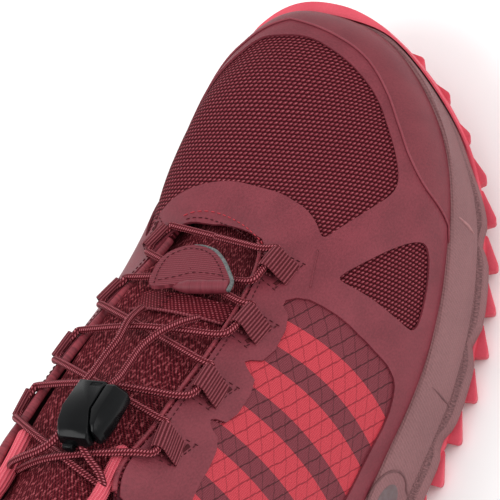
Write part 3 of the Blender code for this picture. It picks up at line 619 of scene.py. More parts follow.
def foam_finish():
    """Moulded rose foam: fine slanted grain with a stippled groove."""
    finish = Finish("rose_foam", 0.7, 0.3)
    vector, u, v = finish.uv("side")
    grain = (u * 0.8 + v * 1.4).sine(1.5) * (u - v * 1.1).sine(2.1)
    speck = finish.uv_noise(vector, 1.1, 3.0)
    cloud = finish.uv_noise(vector, 0.05, 2.0)
    groove = v.between(GROOVE_V[0] - 0.5, GROOVE_V[0]) * (1 - v.between(GROOVE_V[1], GROOVE_V[1] + 0.5))
    finish.bump(grain * 0.4 + speck, 0.22)
    mixed = (cloud * 0.35 + speck * 0.45 + grain * 0.12 + 0.1).between(0.3, 0.7)
    tone = finish.blend(mixed, look().foam_shade, look().foam)
    stipple = groove * (finish.uv_noise(vector, 2.6, 1.0)).between(0.35, 0.62)
    return finish.done(finish.blend(stipple * 0.75, tone, look().foam_groove), speck * 0.2 + 0.6)


def rubber_finish():
    """Coral tread rubber, a little chalky with worn, paler edges."""
    finish = Finish("coral_rubber", 0.55)
    grain = finish.object_noise(1400, 3.0)
    cloud = finish.object_noise(90, 2.0)
    finish.bump(grain, 0.08)
    tone = finish.blend((cloud * 0.7 + grain * 0.3).between(0.32, 0.68), look().coral_shade, look().coral)
    return finish.done(tone, grain * 0.25 + 0.42)


def lace_finish():
    """Round braided lace: slanted pairs of light flecks along a burgundy cord."""
    finish = Finish("lace_braid", 0.7, 0.12)
    _, u, v = finish.uv("braid")
    pitch = look().braid_pitch
    row = (v * 5.0).fraction(1.0)
    rib = (row * math.pi).call("SINE")
    tick = ((u / pitch + row * 0.8).fraction(1.0) * math.pi).call("SINE")
    plait = tick.between(0.3, 0.85) * rib.between(0.15, 0.6)
    fleck_and_highlight = (tick * rib).between(0.55, 0.9) * (row > 0.25)
    ground = finish.blend(plait, look().lace_dark, look().lace)
    finish.bump(plait + fleck_and_highlight * 0.3, 0.3)
    return finish.done(finish.blend(fleck_and_highlight * 0.8, ground, look().lace_light))


def webbing_finish(name, dark, mid, rib_highlight):
    """Ribbed webbing with its threads showing across the ribs, painted shade in the troughs between the ribs
    and a painted highlight on their crests.
    """
    finish = Finish(name, 0.75)
    vector, u, v = finish.uv("strap")
    thread = (v.sine(0.6) * (u + v * 0.3).sine(0.5)) * 0.5 + 0.5
    rib = (u + 0.25 * RIB_PITCH).sine(RIB_PITCH) * 0.5 + 0.5
    fuzz = finish.uv_noise(vector, 1.5)
    # Painted shade: the troughs between the ribs take the dark colour
    tone = finish.blend(rib.between(0.2, 0.8), dark, mid)
    finish.bump(thread, 0.12)
    # Painted highlight on the ribs' crests
    lit = (rib.between(0.45, 1.0) * (thread * 0.6 + 0.4) * fuzz * 1.7).clamped()
    return finish.done(finish.blend(lit, tone, rib_highlight))


def gathered_finish():
    """Coral webbing gathered into lengthwise ribs, with painted shade in the creases between them and a
    painted highlight on their yarn.
    """
    finish = Finish("coral_webbing", 0.7)
    vector, u, v = finish.uv("strap")
    rib = (v + finish.uv_noise(vector, 0.15) * 0.6).sine(1.0) * 0.5 + 0.5
    thread = (u + v * 0.2).sine(0.6) * 0.5 + 0.5
    finish.bump(rib + thread * 0.15, 0.3)
    # Painted shade in the creases between the ribs, and a painted highlight on the yarn of their crests
    tone = finish.blend(rib.between(0.1, 0.7), look().coral_shade, look().coral)
    return finish.done(finish.blend(thread * rib * 0.35, tone, look().coral_highlight))


def twill_finish():
    """Woven band with a slanted twill and corded edges."""
    finish = Finish("twill_band", 0.75, 0.1)
    vector, u, v = finish.uv("strap")
    twill = (u + v * 0.8).sine(1.15) * 0.5 + 0.5
    thread = (v - u * 0.3).sine(0.8) * 0.5 + 0.5
    check = (twill * thread).between(0.15, 0.6)
    finish.bump(check, 0.28)
    base = finish.blend(check, look().lace_dark, look().lace)
    lit = (check * finish.uv_noise(vector, 1.2)).between(0.45, 0.8)
    return finish.done(finish.blend(lit, base, look().lace_light))


def tongue_finish():
    """Heathered tongue cloth: dark maroon with bright slanted flecks."""
    finish = Finish("heather_cloth", 0.8, 0.1)
    vector, u, v = finish.uv("weave")
    slant = {"Vector": vector, "Rotation": (0, 0, 0.6), "Scale": (1.5, 0.7, 1)}
    fleck_and_highlight = finish.uv_noise(finish.node("ShaderNodeMapping", {}, slant), 1.0, 3.0)
    knit = (u + v * 0.4).sine(0.8) * v.sine(0.9) * 0.5 + 0.5
    base = finish.blend((knit * 0.6 + fleck_and_highlight * 0.4).between(0.3, 0.75), look().knit_dark, look().tongue)
    finish.bump(knit + fleck_and_highlight, 0.35)
    lit = fleck_and_highlight.between(0.5, 0.68) * (knit * 0.7 + 0.3)
    return finish.done(finish.blend(lit, base, look().tongue_fleck))


def plain_cloth(name, colour, shade, pitch):
    """Close-knit lining cloth."""
    finish = Finish(name, 0.85)
    vector, u, v = finish.uv("weave")
    knit = u.sine(pitch) * v.sine(pitch) * 0.5 + 0.5
    cloud = finish.uv_noise(vector, 0.2)
    finish.bump(knit, 0.2)
    return finish.done(finish.blend((knit * 0.6 + cloud * 0.4).between(0.2, 0.8), shade, colour))


def plastic_finish():
    """Glossy black moulded plastic with a faint haze of handling."""
    finish = Finish("black_plastic", 0.25, 0.12)
    haze = finish.object_noise(700, 3.0)
    smear = finish.object_noise(120, 2.0)
    finish.bump(haze, 0.01)
    tone = finish.blend(smear.between(0.3, 0.8), look().plastic, look().plastic_haze)
    return finish.done(tone, smear * 0.15 + 0.14)


def mottled(name, roughness, grain, first, second):
    """A plain material of two tones."""
    finish = Finish(name, roughness)
    return finish.done(finish.blend(finish.object_noise(grain), first, second))


def hem_finish():
    """Pale twisted cord."""
    finish = Finish("pale_hem", 0.7, 0.1)
    _, u, _ = finish.uv("braid")
    twist = u.sine(0.9) * 0.5 + 0.5
    finish.bump(twist, 0.1)
    return finish.done(finish.blend(twist, look().webbing, look().webbing_light))


def edge_finish():
    """Pale cut edge of a layered cloth."""
    finish = Finish("cut_edge", 0.6)
    grain = finish.object_noise(1600, 2.0)
    finish.bump(grain, 0.08)
    return finish.done(finish.blend(grain.between(0.3, 0.7), look().edge_shade, look().edge))


def placed(name, data):
    """A new object in the scene."""
    piece = bpy.data.objects.new(name, data)
    bpy.context.scene.collection.objects.link(piece)
    return piece


def make_mesh(name, points, faces, materials, uvs=None, smooth=True):
    """A plain object from points in millimetres; uvs maps a name to a value for each point."""
    mesh = bpy.data.meshes.new(name)
    mesh.from_pydata(to_frame(points).tolist(), [], faces)
    for layer_name, values in (uvs or {}).items():
        layer = mesh.uv_layers.new(name=layer_name)
        corner = np.empty(len(mesh.loops), int)
        mesh.loops.foreach_get("vertex_index", corner)
        layer.data.foreach_set("uv", np.asarray(values, float)[corner].ravel())
    for material in materials:
        mesh.materials.append(material)
    if smooth:
        mesh.shade_smooth()
    return placed(name, mesh)


def uv_grid(u, v):
    """A map's value for each point of a grid."""
    return np.stack(np.broadcast_arrays(u, v), axis=-1).reshape(-1, 2)


def plain_mesh(piece):
    """The mesh that a piece's modifiers make."""
    bpy.context.view_layer.update()
    graph = bpy.context.evaluated_depsgraph_get()
    return bpy.data.meshes.new_from_object(piece.evaluated_get(graph))


def settle(piece):
    """Replace a piece's modifiers by the plain mesh they make."""
    mesh = plain_mesh(piece)
    piece.modifiers.clear()
    piece.data = mesh
    return piece


def crisp(piece, degrees):
    """Show the edges sharper than an angle as edges."""
    piece.data.set_sharp_from_angle(angle=math.radians(degrees))
    return piece


def thicken(piece, thickness, inner_material=0, sharp=35.0):
    """Give a sheet its real thickness, inwards from its face, with crisp edges."""
    wall = piece.modifiers.new("wall", "SOLIDIFY")
    wall.thickness = thickness * MM
    wall.offset = -1
    wall.material_offset = inner_material
    return crisp(settle(piece), sharp)


@contextmanager
def edited(piece):
    """A piece's mesh, opened for editing and written back."""
    edit = bmesh.new()
    edit.from_mesh(piece.data)
    yield edit
    edit.to_mesh(piece.data)
    edit.free()


def outward(piece):
    """Turn every face of a closed piece outwards."""
    with edited(piece) as edit:
        bmesh.ops.remove_doubles(edit, verts=edit.verts, dist=0.001 * MM)
        bmesh.ops.recalc_face_normals(edit, faces=edit.faces)
    return piece


def facing_up(piece):
    """Turn a sheet's faces upwards."""
    with edited(piece) as edit:
        bmesh.ops.reverse_faces(edit, faces=[face for face in edit.faces if face.normal.z < 0])
    return piece


def facing(piece, polygon, direction):
    """Turn a whole sheet over where one of its faces looks against a direction."""
    if np.dot(piece.data.polygons[polygon].normal, direction) < 0:
        piece.data.flip_normals()
    return piece


def grid_faces(rows, columns, closed=False):
    """Quads of a grid of points, row by row; closed joins the last column to the first."""
    r, c = np.meshgrid(np.arange(rows - 1), np.arange(columns if closed else columns - 1), indexing="ij")
    d = (c + 1) % columns
    low, high = r * columns, (r + 1) * columns
    return np.stack([low + d, low + c, high + c, high + d], axis=-1).reshape(-1, 4).tolist()


def sweep(name, centre, radius, sides, material, uv_name, flatten=1.0, side_hint=None, turns=1.0):
    """A round or flattened tube along a route, with a map of millimetres along and turns round it."""
    centre = np.asarray(centre, float)
    n = len(centre)
    radius = np.broadcast_to(radius, n)[:, None, None]
    tangent = unit(np.gradient(centre, axis=0))
    sideways = np.empty_like(centre)
    side = np.cross(tangent[0], (0.0, 0.0, 1.0))
    for k in range(n):
        if side_hint is not None:
            side = side_hint[k]
        side = unit(side - tangent[k] * np.dot(side, tangent[k]))
        sideways[k] = side
    up = np.cross(tangent, sideways)
    angle = np.linspace(0, 2 * math.pi, sides + 1)
    cosine, sine = np.cos(angle)[None, :, None], np.sin(angle)[None, :, None]
    ring = centre[:, None] + radius * cosine * sideways[:, None] + flatten * radius * sine * up[:, None]
    points = np.vstack([ring.reshape(-1, 3), centre[:1], centre[-1:]])
    length = run_length(centre)
    turned = turns * angle / (2 * math.pi)
    uvs = np.vstack([uv_grid(length[:, None], turned[None, :]), [[0, 0.5]], [[length[-1], 0.5]]])
    tip, end = n * (sides + 1), (n - 1) * (sides + 1)
    faces = grid_faces(n, sides + 1)
    faces += [(tip, i, i + 1) for i in range(sides)]
    faces += [(tip + 1, end + i + 1, end + i) for i in range(sides)]
    return outward(make_mesh(name, points, faces, [material], {uv_name: uvs}))


def round_edges(piece, width, segments):
    """Bevel a piece's edges, to a width in millimetres."""
    bevel = piece.modifiers.new("bevel", "BEVEL")
    bevel.width = width * MM
    bevel.segments = segments
    bevel.limit_method = "ANGLE"
    settle(piece).data.shade_smooth()
    return crisp(piece, 50)


def joined(base, *others):
    """One mesh from several pieces of the same finish."""
    with edited(base) as edit:
        for piece in others:
            edit.from_mesh(piece.data)
            bpy.data.objects.remove(piece)
    return base


def ring_at(plan, height):
    """A plan outline at a height."""
    return np.column_stack([plan, np.broadcast_to(height, len(plan))])


def stack(name, rings, levels, material, sharp):
    """A closed solid through rings of columns, from its top face round the outside to its underside."""
    n = len(rings[0])
    points = np.vstack(rings)
    edge = rings[len(rings) // 2]
    run = run_length(np.vstack([edge, edge[:1]]))[:-1]
    uvs = np.column_stack([np.tile(run, len(rings)), np.repeat(levels, n)])
    faces = [face[::-1] for face in grid_faces(len(rings), n, True)]
    for first in (0, (len(rings) - 1) * n):
        for i in range(n // 2):
            rung = [first + i, first + i + 1, first + (n - i - 1), first + (n - i) % n]
            faces.append(list(dict.fromkeys(rung)))
    return crisp(outward(make_mesh(name, points, faces, [material], {"side": uvs, "weave": uvs})), sharp)


def finished(piece, slot, *nodes):
    """Set a piece in the frame."""
    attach(piece, "root")
    if nodes:
        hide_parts(*nodes)
    return piece


def inside(points, outlines):
    """Which points lie in the first outline and in none of the others."""
    x, y = points[:, 0:1], points[:, 1:2]
    odd = np.zeros(len(points), bool)
    for outline in outlines:
        ax, ay = outline[:, 0], outline[:, 1]
        bx, by = np.roll(ax, -1), np.roll(ay, -1)
        spans = (ay > y) != (by > y)
        with np.errstate(divide="ignore", invalid="ignore"):
            cross = (bx - ax) * (y - ay) / (by - ay) + ax
        odd ^= (spans & (x < cross)).sum(axis=1) % 2 == 1
    return odd


def upper_sheet(name, outlines, step, lift, thickness, material, uv_maker):
    """A sheet on the upper inside the first outline and outside the rest, in section and height."""
    scale = np.array([SECTION_MM, WALL_MM])
    flat = []
    for outline in outlines:
        outline = np.asarray(outline, float) * scale
        flat.append(np.vstack([
            np.linspace(a, b, max(1, int(np.linalg.norm(b - a) / step)), endpoint=False)
            for a, b in zip(outline, np.roll(outline, -1, axis=0))
        ]))
    low, high = flat[0].min(axis=0), flat[0].max(axis=0)
    gx, gy = np.meshgrid(np.arange(low[0], high[0], step), np.arange(low[1], high[1], step))
    gx = gx + 0.5 * step * (np.arange(gx.shape[0]) % 2)[:, None]
    fill = np.stack([gx.ravel(), gy.ravel()], axis=-1)
    fill = fill[inside(fill, flat)]
    edge = np.vstack(flat)
    near = np.array([np.min(((edge - point) ** 2).sum(axis=1)) for point in fill])
    fill = fill[near > (EDGE_ROOM * step) ** 2]
    constraints, start = [], 0
    for route in flat:
        n = len(route)
        constraints += [(start + i, start + (i + 1) % n) for i in range(n)]
        start += n
    corners = [tuple(p) for p in np.vstack([edge, fill])]
    points, _, faces, *_ = delaunay_2d_cdt(corners, constraints, [], 0, 1e-6)
    points = np.array([tuple(p) for p in points])
    faces = np.array([f for f in faces if len(f) == 3])
    faces = faces[inside(points[faces].mean(axis=1), flat)]
    place = on_upper(*(points / scale).T, lift)
    piece = make_mesh(name, place, faces[:, ::-1].tolist(), [material], uv_maker(place))
    with edited(piece) as edit:
        loose = [vertex for vertex in edit.verts if not vertex.link_faces]
        bmesh.ops.delete(edit, geom=loose, context="VERTS")
    first = points[faces[0]].mean(axis=0) / scale
    return thicken(facing(piece, 0, upper_normal(*first)), thickness)


def smoothed(route, step):
    """A route in section and height, resampled on a smooth curve at an even step in millimetres."""
    scale = np.array([SECTION_MM, WALL_MM])
    return spaced(np.asarray(route) * scale, step) / scale


def mirrored(outline):
    """The same outline on the inner side."""
    return (np.asarray(outline) * np.array([-1.0, 1.0]))[::-1]


def panel_outlines():
    """Windows and panels of the outer side, as section and height."""
    toe_half = cast_to_upper(TOE_WINDOW_PX)
    toe_half[0, 0] = toe_half[-1, 0] = 0.0
    toe = np.vstack([toe_half, mirrored(toe_half)[1:-1]])
    side = cast_to_upper(SIDE_WINDOW_PX)
    ripstop = np.vstack([
        cast_to_upper(RIPSTOP_PX), RIPSTOP_REAR, cast_to_upper(RIPSTOP_LOBES_PX),
    ])
    return rounded(toe), rounded(side), rounded(ripstop, 1)


def weave_only(place):
    return {"weave": weave_uv(place)}


def panel_maps(place):
    """Cloth map, and a flat map across and along the ripstop's bars."""
    ends = upper_point(*cast_to_upper(RIPSTOP_RUN_PX).T)
    run = unit(ends[1] - ends[0])
    across = unit(np.cross(run, upper_normal(*RIPSTOP_MIDDLE)))
    if across[0] > 0:
        across = -across
    flat = place - ends[0]
    return {"weave": weave_uv(place), "panel": np.stack([flat @ across, flat @ run], axis=-1)}


def make_upper():
    """Knitted shell with its lining, a padded roll round the collar and a binding round the throat."""
    columns = SECTION_COUNT * UPPER_STEP
    s, t = np.arange(columns) / UPPER_STEP, np.linspace(0, 1, UPPER_ROWS)
    place = upper_point(s[None, :], t[:, None]).reshape(-1, 3)
    lining = plain_cloth("lining_cloth", look().lining, look().knit_dark, 1.1)
    faces = grid_faces(UPPER_ROWS, columns, True)
    piece = make_mesh("upper_shell", place, faces, [knit_finish(), lining], weave_only(place))
    finished(thicken(piece, SHELL, inner_material=1), "maroon_mesh", "upper")
    s = np.linspace(COLLAR_FROM, COLLAR_TO, 150)
    swell = ramp(np.minimum(s - COLLAR_FROM, COLLAR_TO - s), 0, COLLAR_FADE)
    radius = COLLAR_THIN + COLLAR_SWELL * swell
    depth = COLLAR_SINK + COLLAR_SHARE * radius
    centre = upper_point(s, COLLAR_T) - upper_normal(s, EDGE_T) * depth[:, None]
    roll = finished(sweep("collar_roll", centre, radius, 14, lining, "weave"), "dark_foam")
    tape = film_finish("binding_film", look().film_shade, look().lace)
    for name, first, last in (("outer", THROAT_FRONT, BINDING_END), ("inner", -BINDING_END, -THROAT_FRONT)):
        s = np.linspace(first, last, 120)
        normal = upper_normal(s, EDGE_T)
        centre = upper_point(s, 1.0) - BINDING_SINK * normal
        name = f"throat_binding_{name}"
        binding = sweep(name, centre, BINDING_RADIUS, 12, tape, "weave", BINDING_FLAT, normal)
        finished(binding, "burgundy_film")


def make_overlays():
    """Burgundy film over the knit, with windows, and a second layer with a ridge low round the toe."""
    toe, side, ripstop = panel_outlines()
    film = film_finish("burgundy_film", look().film, look().film_shade)
    rand_film = film_finish("burgundy_rand", look().rand, look().film_shade)
    # The bead along the toe's ridge is painted paler: a painted highlight
    bead_highlight = film_finish("burgundy_bead", look().film_highlight, look().film)
    edge = smoothed(FILM_EDGE, EDGE_STEP)
    s = np.linspace(THROAT_FRONT, -THROAT_FRONT, 41)
    lip = np.column_stack([s, FILM_HIGH + THROAT_LIP * (1 - (s / THROAT_FRONT) ** 2)])
    border = np.vstack([[(-HEEL, FILM_LOW), (HEEL, FILM_LOW)], edge[::-1], lip, mirrored(edge)[::-1]])
    outlines = [border, toe, side, ripstop, mirrored(side), mirrored(ripstop)]
    piece = upper_sheet("overlay_film", outlines, FILM_STEP, FILM_LIFT, FILM_THICK, film, weave_only)
    finished(piece, "burgundy_film", "eyestay", "band_front", "band_rear")
    ridge = cast_to_upper(RAND_RIDGE_PX)
    ridge[0, 0] = 0.0
    tail = ridge[-1, 0] + RAND_TAIL[0]
    half = np.vstack([smoothed(ridge, EDGE_STEP), [[tail, FILM_LOW + RAND_TAIL[1]]]])
    ridge = np.vstack([mirrored(half), half[1:]])
    low = [[tail - RAND_CUT, FILM_LOW], [RAND_CUT - tail, FILM_LOW]]
    outlines = [np.vstack([ridge, low])]
    piece = upper_sheet("toe_rand_film", outlines, FILM_STEP, RAND_LIFT, RAND_THICK, rand_film, weave_only)
    finished(piece, "burgundy_film", "toe_rand")
    seam = smoothed(cast_to_upper(FILM_SEAM_PX), 1.0)
    for name, route, lift, radius, finish in (
        ("toe_rand_bead", ridge, BEAD_LIFT, BEAD_RADIUS, bead_highlight),
        ("film_seam", seam, SEAM_LIFT, SEAM_RADIUS, rand_film),
    ):
        finished(sweep(name, on_upper(*route.T, lift), radius, 8, finish, "weave"), "burgundy_film")


def make_ripstop():
    """Ripstop panels behind the films' large openings, printed on the outer side only."""
    ripstop = panel_outlines()[2]
    middle = ripstop.mean(axis=0)
    grown = middle + (ripstop - middle) * RIPSTOP_GROW
    for side, outline, step, cloth in (
        ("outer", grown, RIPSTOP_STEPS[0], ripstop_finish("ripstop_printed", True)),
        ("inner", mirrored(grown), RIPSTOP_STEPS[1], ripstop_finish("ripstop_plain", False)),
    ):
        name = f"ripstop_{side}"
        piece = upper_sheet(name, [outline], step, RIPSTOP_LIFT, RIPSTOP_THICK, cloth, panel_maps)
        finished(piece, "maroon_mesh")


# Columns of the sole in each section; the midsole's side: share of its height, reach past the last
SOLE_STEP = 12
SIDE_PROFILE = (
    ("rim", 1.00, 1.7), ("rim_round", 0.985, 2.3), ("band_top", 0.92, 2.95), ("band_belly", 0.70, 4.05),
    ("band_foot", 0.375, 4.5), ("groove_lip", 0.355, 4.35), ("groove_top", 0.33, 3.5),
    ("groove_mid", 0.285, 3.4), ("groove_foot", 0.25, 3.9), ("step_lip", 0.232, 5.1), ("step", 0.21, 5.6),
    ("step_belly", 0.09, 5.85), ("step_foot", 0.03, 5.5), ("sole_edge", 0.00, 4.9),
)
# How much of a notch's depth each row takes
NOTCH_SHARE = {
    "groove_mid": 0.25, "groove_foot": 0.5, "step_lip": 0.85, "step": 1.0, "step_belly": 1.0,
    "step_foot": 1.0, "sole_edge": 1.0,
}
# Height of the midsole's side on its own map, and of the groove there
SIDE_MM = 27.0
GROOVE_V = (0.232 * SIDE_MM, 0.345 * SIDE_MM)
# Notches of the lower step; the step's reach round the toe, under the rubber
NOTCH_X = (36.0, 78.0, 122.0, 153.0, 181.5, 211.0, 241.5)
NOTCH_WIDTH, NOTCH_DEPTH = 3.4, 2.1
TOE_STEP_OUT = 0.95
# Outsole: reach past the last, ledge, rounding, swell at the toe, and thickness without and of the lugs
OUTSOLE_OUT, OUTSOLE_LEDGE, OUTSOLE_ROUND, TOE_BUMPER = 3.6, 0.8, 0.4, 1.7
OUTSOLE_BASE, LUG_HEIGHT = 2.4, 3.6
# Sections from the toe's tip up to which it turns up fully, at all, and the midsole leaves it room
WRAP_FULL, WRAP_END, WRAP_ROOM = 0.9, 2.7, 3.6
# Lugs in plan, as ahead and out, at root and foot; their spacing and rounding, and the toe's set back
SIDE_LUG = ((5.5, -6.5), (6.0, 0.6), (-3.2, 4.0), (-4.6, 3.6), (-5.0, -7.5))
SIDE_LUG_FOOT = ((4.4, -6.5), (3.6, -1.0), (-2.6, 2.2), (-3.8, 1.9), (-4.4, -7.5))
SIDE_LUG_STEP, LUG_ROUND = 13.0, 0.7
TOE_LUG_BACK, TOE_LUG_FULL, TOE_LUG_END = 2.4, 2.4, 3.5
# The bumper runs further along the inner side of the toe than along the outer one
BUMPER_FULL, BUMPER_END, TOE_SWELL = 0.4, 1.3, 1.3
# Chevron lugs in plan, and their places along the shoe
CHEVRON = ((7.0, 0.0), (-1.0, 13.0), (-6.0, 13.0), (1.0, 0.0), (-6.0, -13.0), (-1.0, -13.0))
CHEVRON_X = tuple(range(26, 92, 16)) + tuple(range(140, 252, 16))
# Insole: room inside the upper's wall, thickness, and rounding of its edge inwards and down
INSOLE_ROOM, INSOLE_THICK, INSOLE_ROUND = 1.4, 3.5, (0.8, 0.7)


def sole_columns():
    """Section numbers of the sole's columns."""
    return np.arange(SECTION_COUNT * SOLE_STEP) / SOLE_STEP


def foot_outline(out):
    """The feather edge moved outwards in plan, one point for each column of the sole."""
    s = sole_columns()
    return feather(s) + np.asarray(out, float).reshape(-1, 1) * plan_normal("foot", s)


def near_toe(s, full, end):
    """1 round the toe, fading to 0 along both sides between two section numbers."""
    return ramp(np.minimum(s, SECTION_COUNT - s), end, full)


def past_bumper(s):
    """0 on the toe's bumper and all along the inner side, 1 past it on the outer side."""
    return np.where(s < HEEL, 1 - near_toe(s, BUMPER_FULL, BUMPER_END), 0.0)


def foam_side(s, share):
    """Side of the midsole, share 0 at its underside and 1 at its rim."""
    s, share = np.broadcast_arrays(np.asarray(s, float), np.asarray(share, float))
    shares, outs = zip(*sorted((share, out) for _, share, out in SIDE_PROFILE))
    plan = feather(s) + np.interp(share, shares, outs)[..., None] * plan_normal("foot", s)
    x = around("foot_x", s)
    low = sole_z(x) + GAP
    return np.concatenate([plan, (low + (rim_z(x) - low) * share)[..., None]], axis=-1)


def make_midsole():
    """Footbed with a raised rim, a grooved side and a notched lower step; its fine cut lines are dark tubes
    of painted shade, and its raised line is painted paler as a painted highlight.
    """
    s = sole_columns()
    wrap = near_toe(s, WRAP_END, WRAP_ROOM)
    x = foot_outline(0)[:, 0]
    low, high = sole_z(x) + GAP, rim_z(x)
    slack = around("lean", s) * (high - bed_z(x))
    notch = sum(np.exp(-(((x - place) / NOTCH_WIDTH) ** 2)) for place in NOTCH_X) * NOTCH_DEPTH
    toe_step = TOE_STEP_OUT + TOE_SWELL * past_bumper(s)
    rings = [ring_at(foot_outline(GAP), bed_z(x)), ring_at(foot_outline(GAP + slack), high)]
    for row, share, out in SIDE_PROFILE:
        reach = (out - notch * NOTCH_SHARE.get(row, 0.0)) * (1 - wrap) + toe_step * wrap
        rings.append(ring_at(foot_outline(reach), low + (high - low) * share))
    levels = [SIDE_MM * share for share in (1.3, 1.05, *(share for _, share, _ in SIDE_PROFILE))]
    finished(stack("midsole_foam", rings, levels, foam_finish(), 50), "rose_foam", "midsole")
    # The cut lines are dark tubes standing in for the shade inside the cuts: painted shade
    dark = mottled("foam_line", 0.7, 900, look().foam_groove, look().foam_shade)
    # The raised line is painted paler: a painted highlight
    pale = mottled("foam_ridge", 0.7, 900, look().foam, look().foam_highlight)
    for name, pixels, radius, finish in (
        ("midsole_cut", FOAM_CUT_PX, FOAM_CUT, dark),
        ("midsole_ridge", FOAM_RIDGE_PX, FOAM_RIDGE, pale),
    ):
        route = foam_side(*smoothed(cast(pixels, foam_side), FOAM_LINE_STEP).T)
        taper = np.sin(np.linspace(0.25, math.pi - 0.25, len(route)))
        finished(sweep(name, route, radius * taper, 8, finish, "side"), "rose_foam")
    # The oval's cut line is a dark tube of painted shade
    rim = spaced(foam_side(*cast(oval(*POD_PX), foam_side).T), FOAM_LINE_STEP)
    finished(sweep("midsole_pod_cut", rim, POD_CUT, 8, dark, "side"), "rose_foam")


def make_pod():
    """Domed grey eye of the oval on the midsole's outer side."""
    eye = cast(oval(*POD_EYE_PX), foam_side)
    middle = eye.mean(axis=0)
    s, share = (middle + np.array(POD_RINGS)[:, None, None] * (eye - middle)).reshape(-1, 2).T
    ahead = foam_side(s + 0.02, share) - foam_side(s - 0.02, share)
    up = foam_side(s, share + 0.01) - foam_side(s, share - 0.01)
    place, out = foam_side(s, share), unit(np.cross(up, ahead))
    out *= np.sign(out[:, 1].mean() * place[:, 1].mean())
    place += np.repeat(POD_DOME, len(eye))[:, None] * out
    smoke = mottled("pod_rubber", 0.42, 500, look().pod, look().foam_groove)
    piece = make_mesh("midsole_pod_eye", place, grid_faces(len(POD_RINGS), len(eye)), [smoke])
    finished(thicken(facing(piece, len(eye), out[0]), POD_THICK), "rose_foam")


def make_insole():
    """Loose padded sole inside the upper, with a rounded upper edge."""
    x = foot_outline(0)[:, 0]
    low, plan = bed_z(x) + GAP, foot_outline(-WALL - INSOLE_ROOM)
    rings = [
        ring_at(foot_outline(-WALL - INSOLE_ROOM - INSOLE_ROUND[0]), low + INSOLE_THICK),
        ring_at(plan, low + INSOLE_THICK - INSOLE_ROUND[1]),
        ring_at(plan, low),
    ]
    cloth = plain_cloth("insole_cloth", look().lining, look().knit_dark, 1.3)
    piece = stack("insole_pad", rings, (1, 0, -3), cloth, 60)
    finished(piece, "dark_foam", "insole")


def lug_plans():
    """Plan outlines of the side lugs and chevrons at root and foot, anticlockwise."""
    fine = np.linspace(0, SECTION_COUNT, 40 * SECTION_COUNT)
    normal = plan_normal("foot", fine)
    edge = feather(fine) + OUTSOLE_OUT * normal
    length = run_length(edge)
    count = int(length[-1] // SIDE_LUG_STEP)
    plans = []
    for k in range(count):
        i = int(np.argmin(np.abs(length - (k + 0.5) * length[-1] / count)))
        out = normal[i]
        ahead = np.array([out[1], -out[0]]) if fine[i] > HEEL else np.array([-out[1], out[0]])
        back = TOE_LUG_BACK * near_toe(fine[i], TOE_LUG_FULL, TOE_LUG_END)
        pair = [
            [edge[i] + ahead * a + out * (o - back) for a, o in shape]
            for shape in (SIDE_LUG, SIDE_LUG_FOOT)
        ]
        plans.append(pair if fine[i] > HEEL else [plan[::-1] for plan in pair])
    middle = 0.5 * (LAST["foot_y"][1:HEEL] + LAST["foot_y"][:HEEL:-1])
    lane_x = LAST["foot_x"][1:HEEL]
    for x in CHEVRON_X:
        y = np.interp(x, lane_x[::-1], middle[::-1])
        plans.append([[np.array([x + ahead, y + across]) for ahead, across in CHEVRON]] * 2)
    return plans


def make_outsole():
    """Rubber sheet that turns up over the toe, with bevelled lugs under it."""
    rubber = rubber_finish()
    wrap = near_toe(sole_columns(), WRAP_FULL, WRAP_END)
    room = near_toe(sole_columns(), WRAP_END, WRAP_ROOM)
    x = foot_outline(0)[:, 0]
    top = sole_z(x)
    lip = top + wrap * (rim_z(x) + GAP - top)
    past = past_bumper(sole_columns())
    inner = (TOE_STEP_OUT + TOE_SWELL * past + GAP) * room + (OUTSOLE_OUT - OUTSOLE_LEDGE) * (1 - room)
    outer = OUTSOLE_OUT + TOE_BUMPER * wrap * (1 - past)
    rings = [
        ring_at(foot_outline(inner), top),
        ring_at(foot_outline(inner + 0.1), lip + 0.02),
        ring_at(foot_outline(outer - OUTSOLE_ROUND), lip),
        ring_at(foot_outline(outer), lip - OUTSOLE_ROUND - 0.25 * (lip - top)),
        ring_at(foot_outline(outer - OUTSOLE_ROUND), top - OUTSOLE_BASE),
    ]
    base = stack("outsole_rubber", rings, range(len(rings)), rubber, 45)
    points, faces = [], []
    for root, foot in lug_plans():
        n, first = len(root), len(points)
        points += [(*p, sole_z(p[0]) - OUTSOLE_BASE - LUG_HEIGHT) for p in foot]
        points += [(*p, sole_z(p[0]) - 0.5 * OUTSOLE_BASE) for p in root]
        faces += [tuple(range(first + n - 1, first - 1, -1)), tuple(range(first + n, first + 2 * n))]
        faces += [(first + i, first + (i + 1) % n, first + n + (i + 1) % n, first + n + i) for i in range(n)]
    lugs = make_mesh("lugs", points, faces, [rubber], smooth=False)
    finished(joined(base, round_edges(lugs, LUG_ROUND, 2)), "coral_rubber", "outsole")


# Fuller flank of the tongue beside the inner loops: lift, rise across, fall to its edge, and reach in x
CHEEK_LIFT, CHEEK_RISE, CHEEK_FALL = 4.6, (0.4, 0.8), 0.35
CHEEK_BACK, CHEEK_FRONT = (98.0, 112.0), (174.0, 190.0)


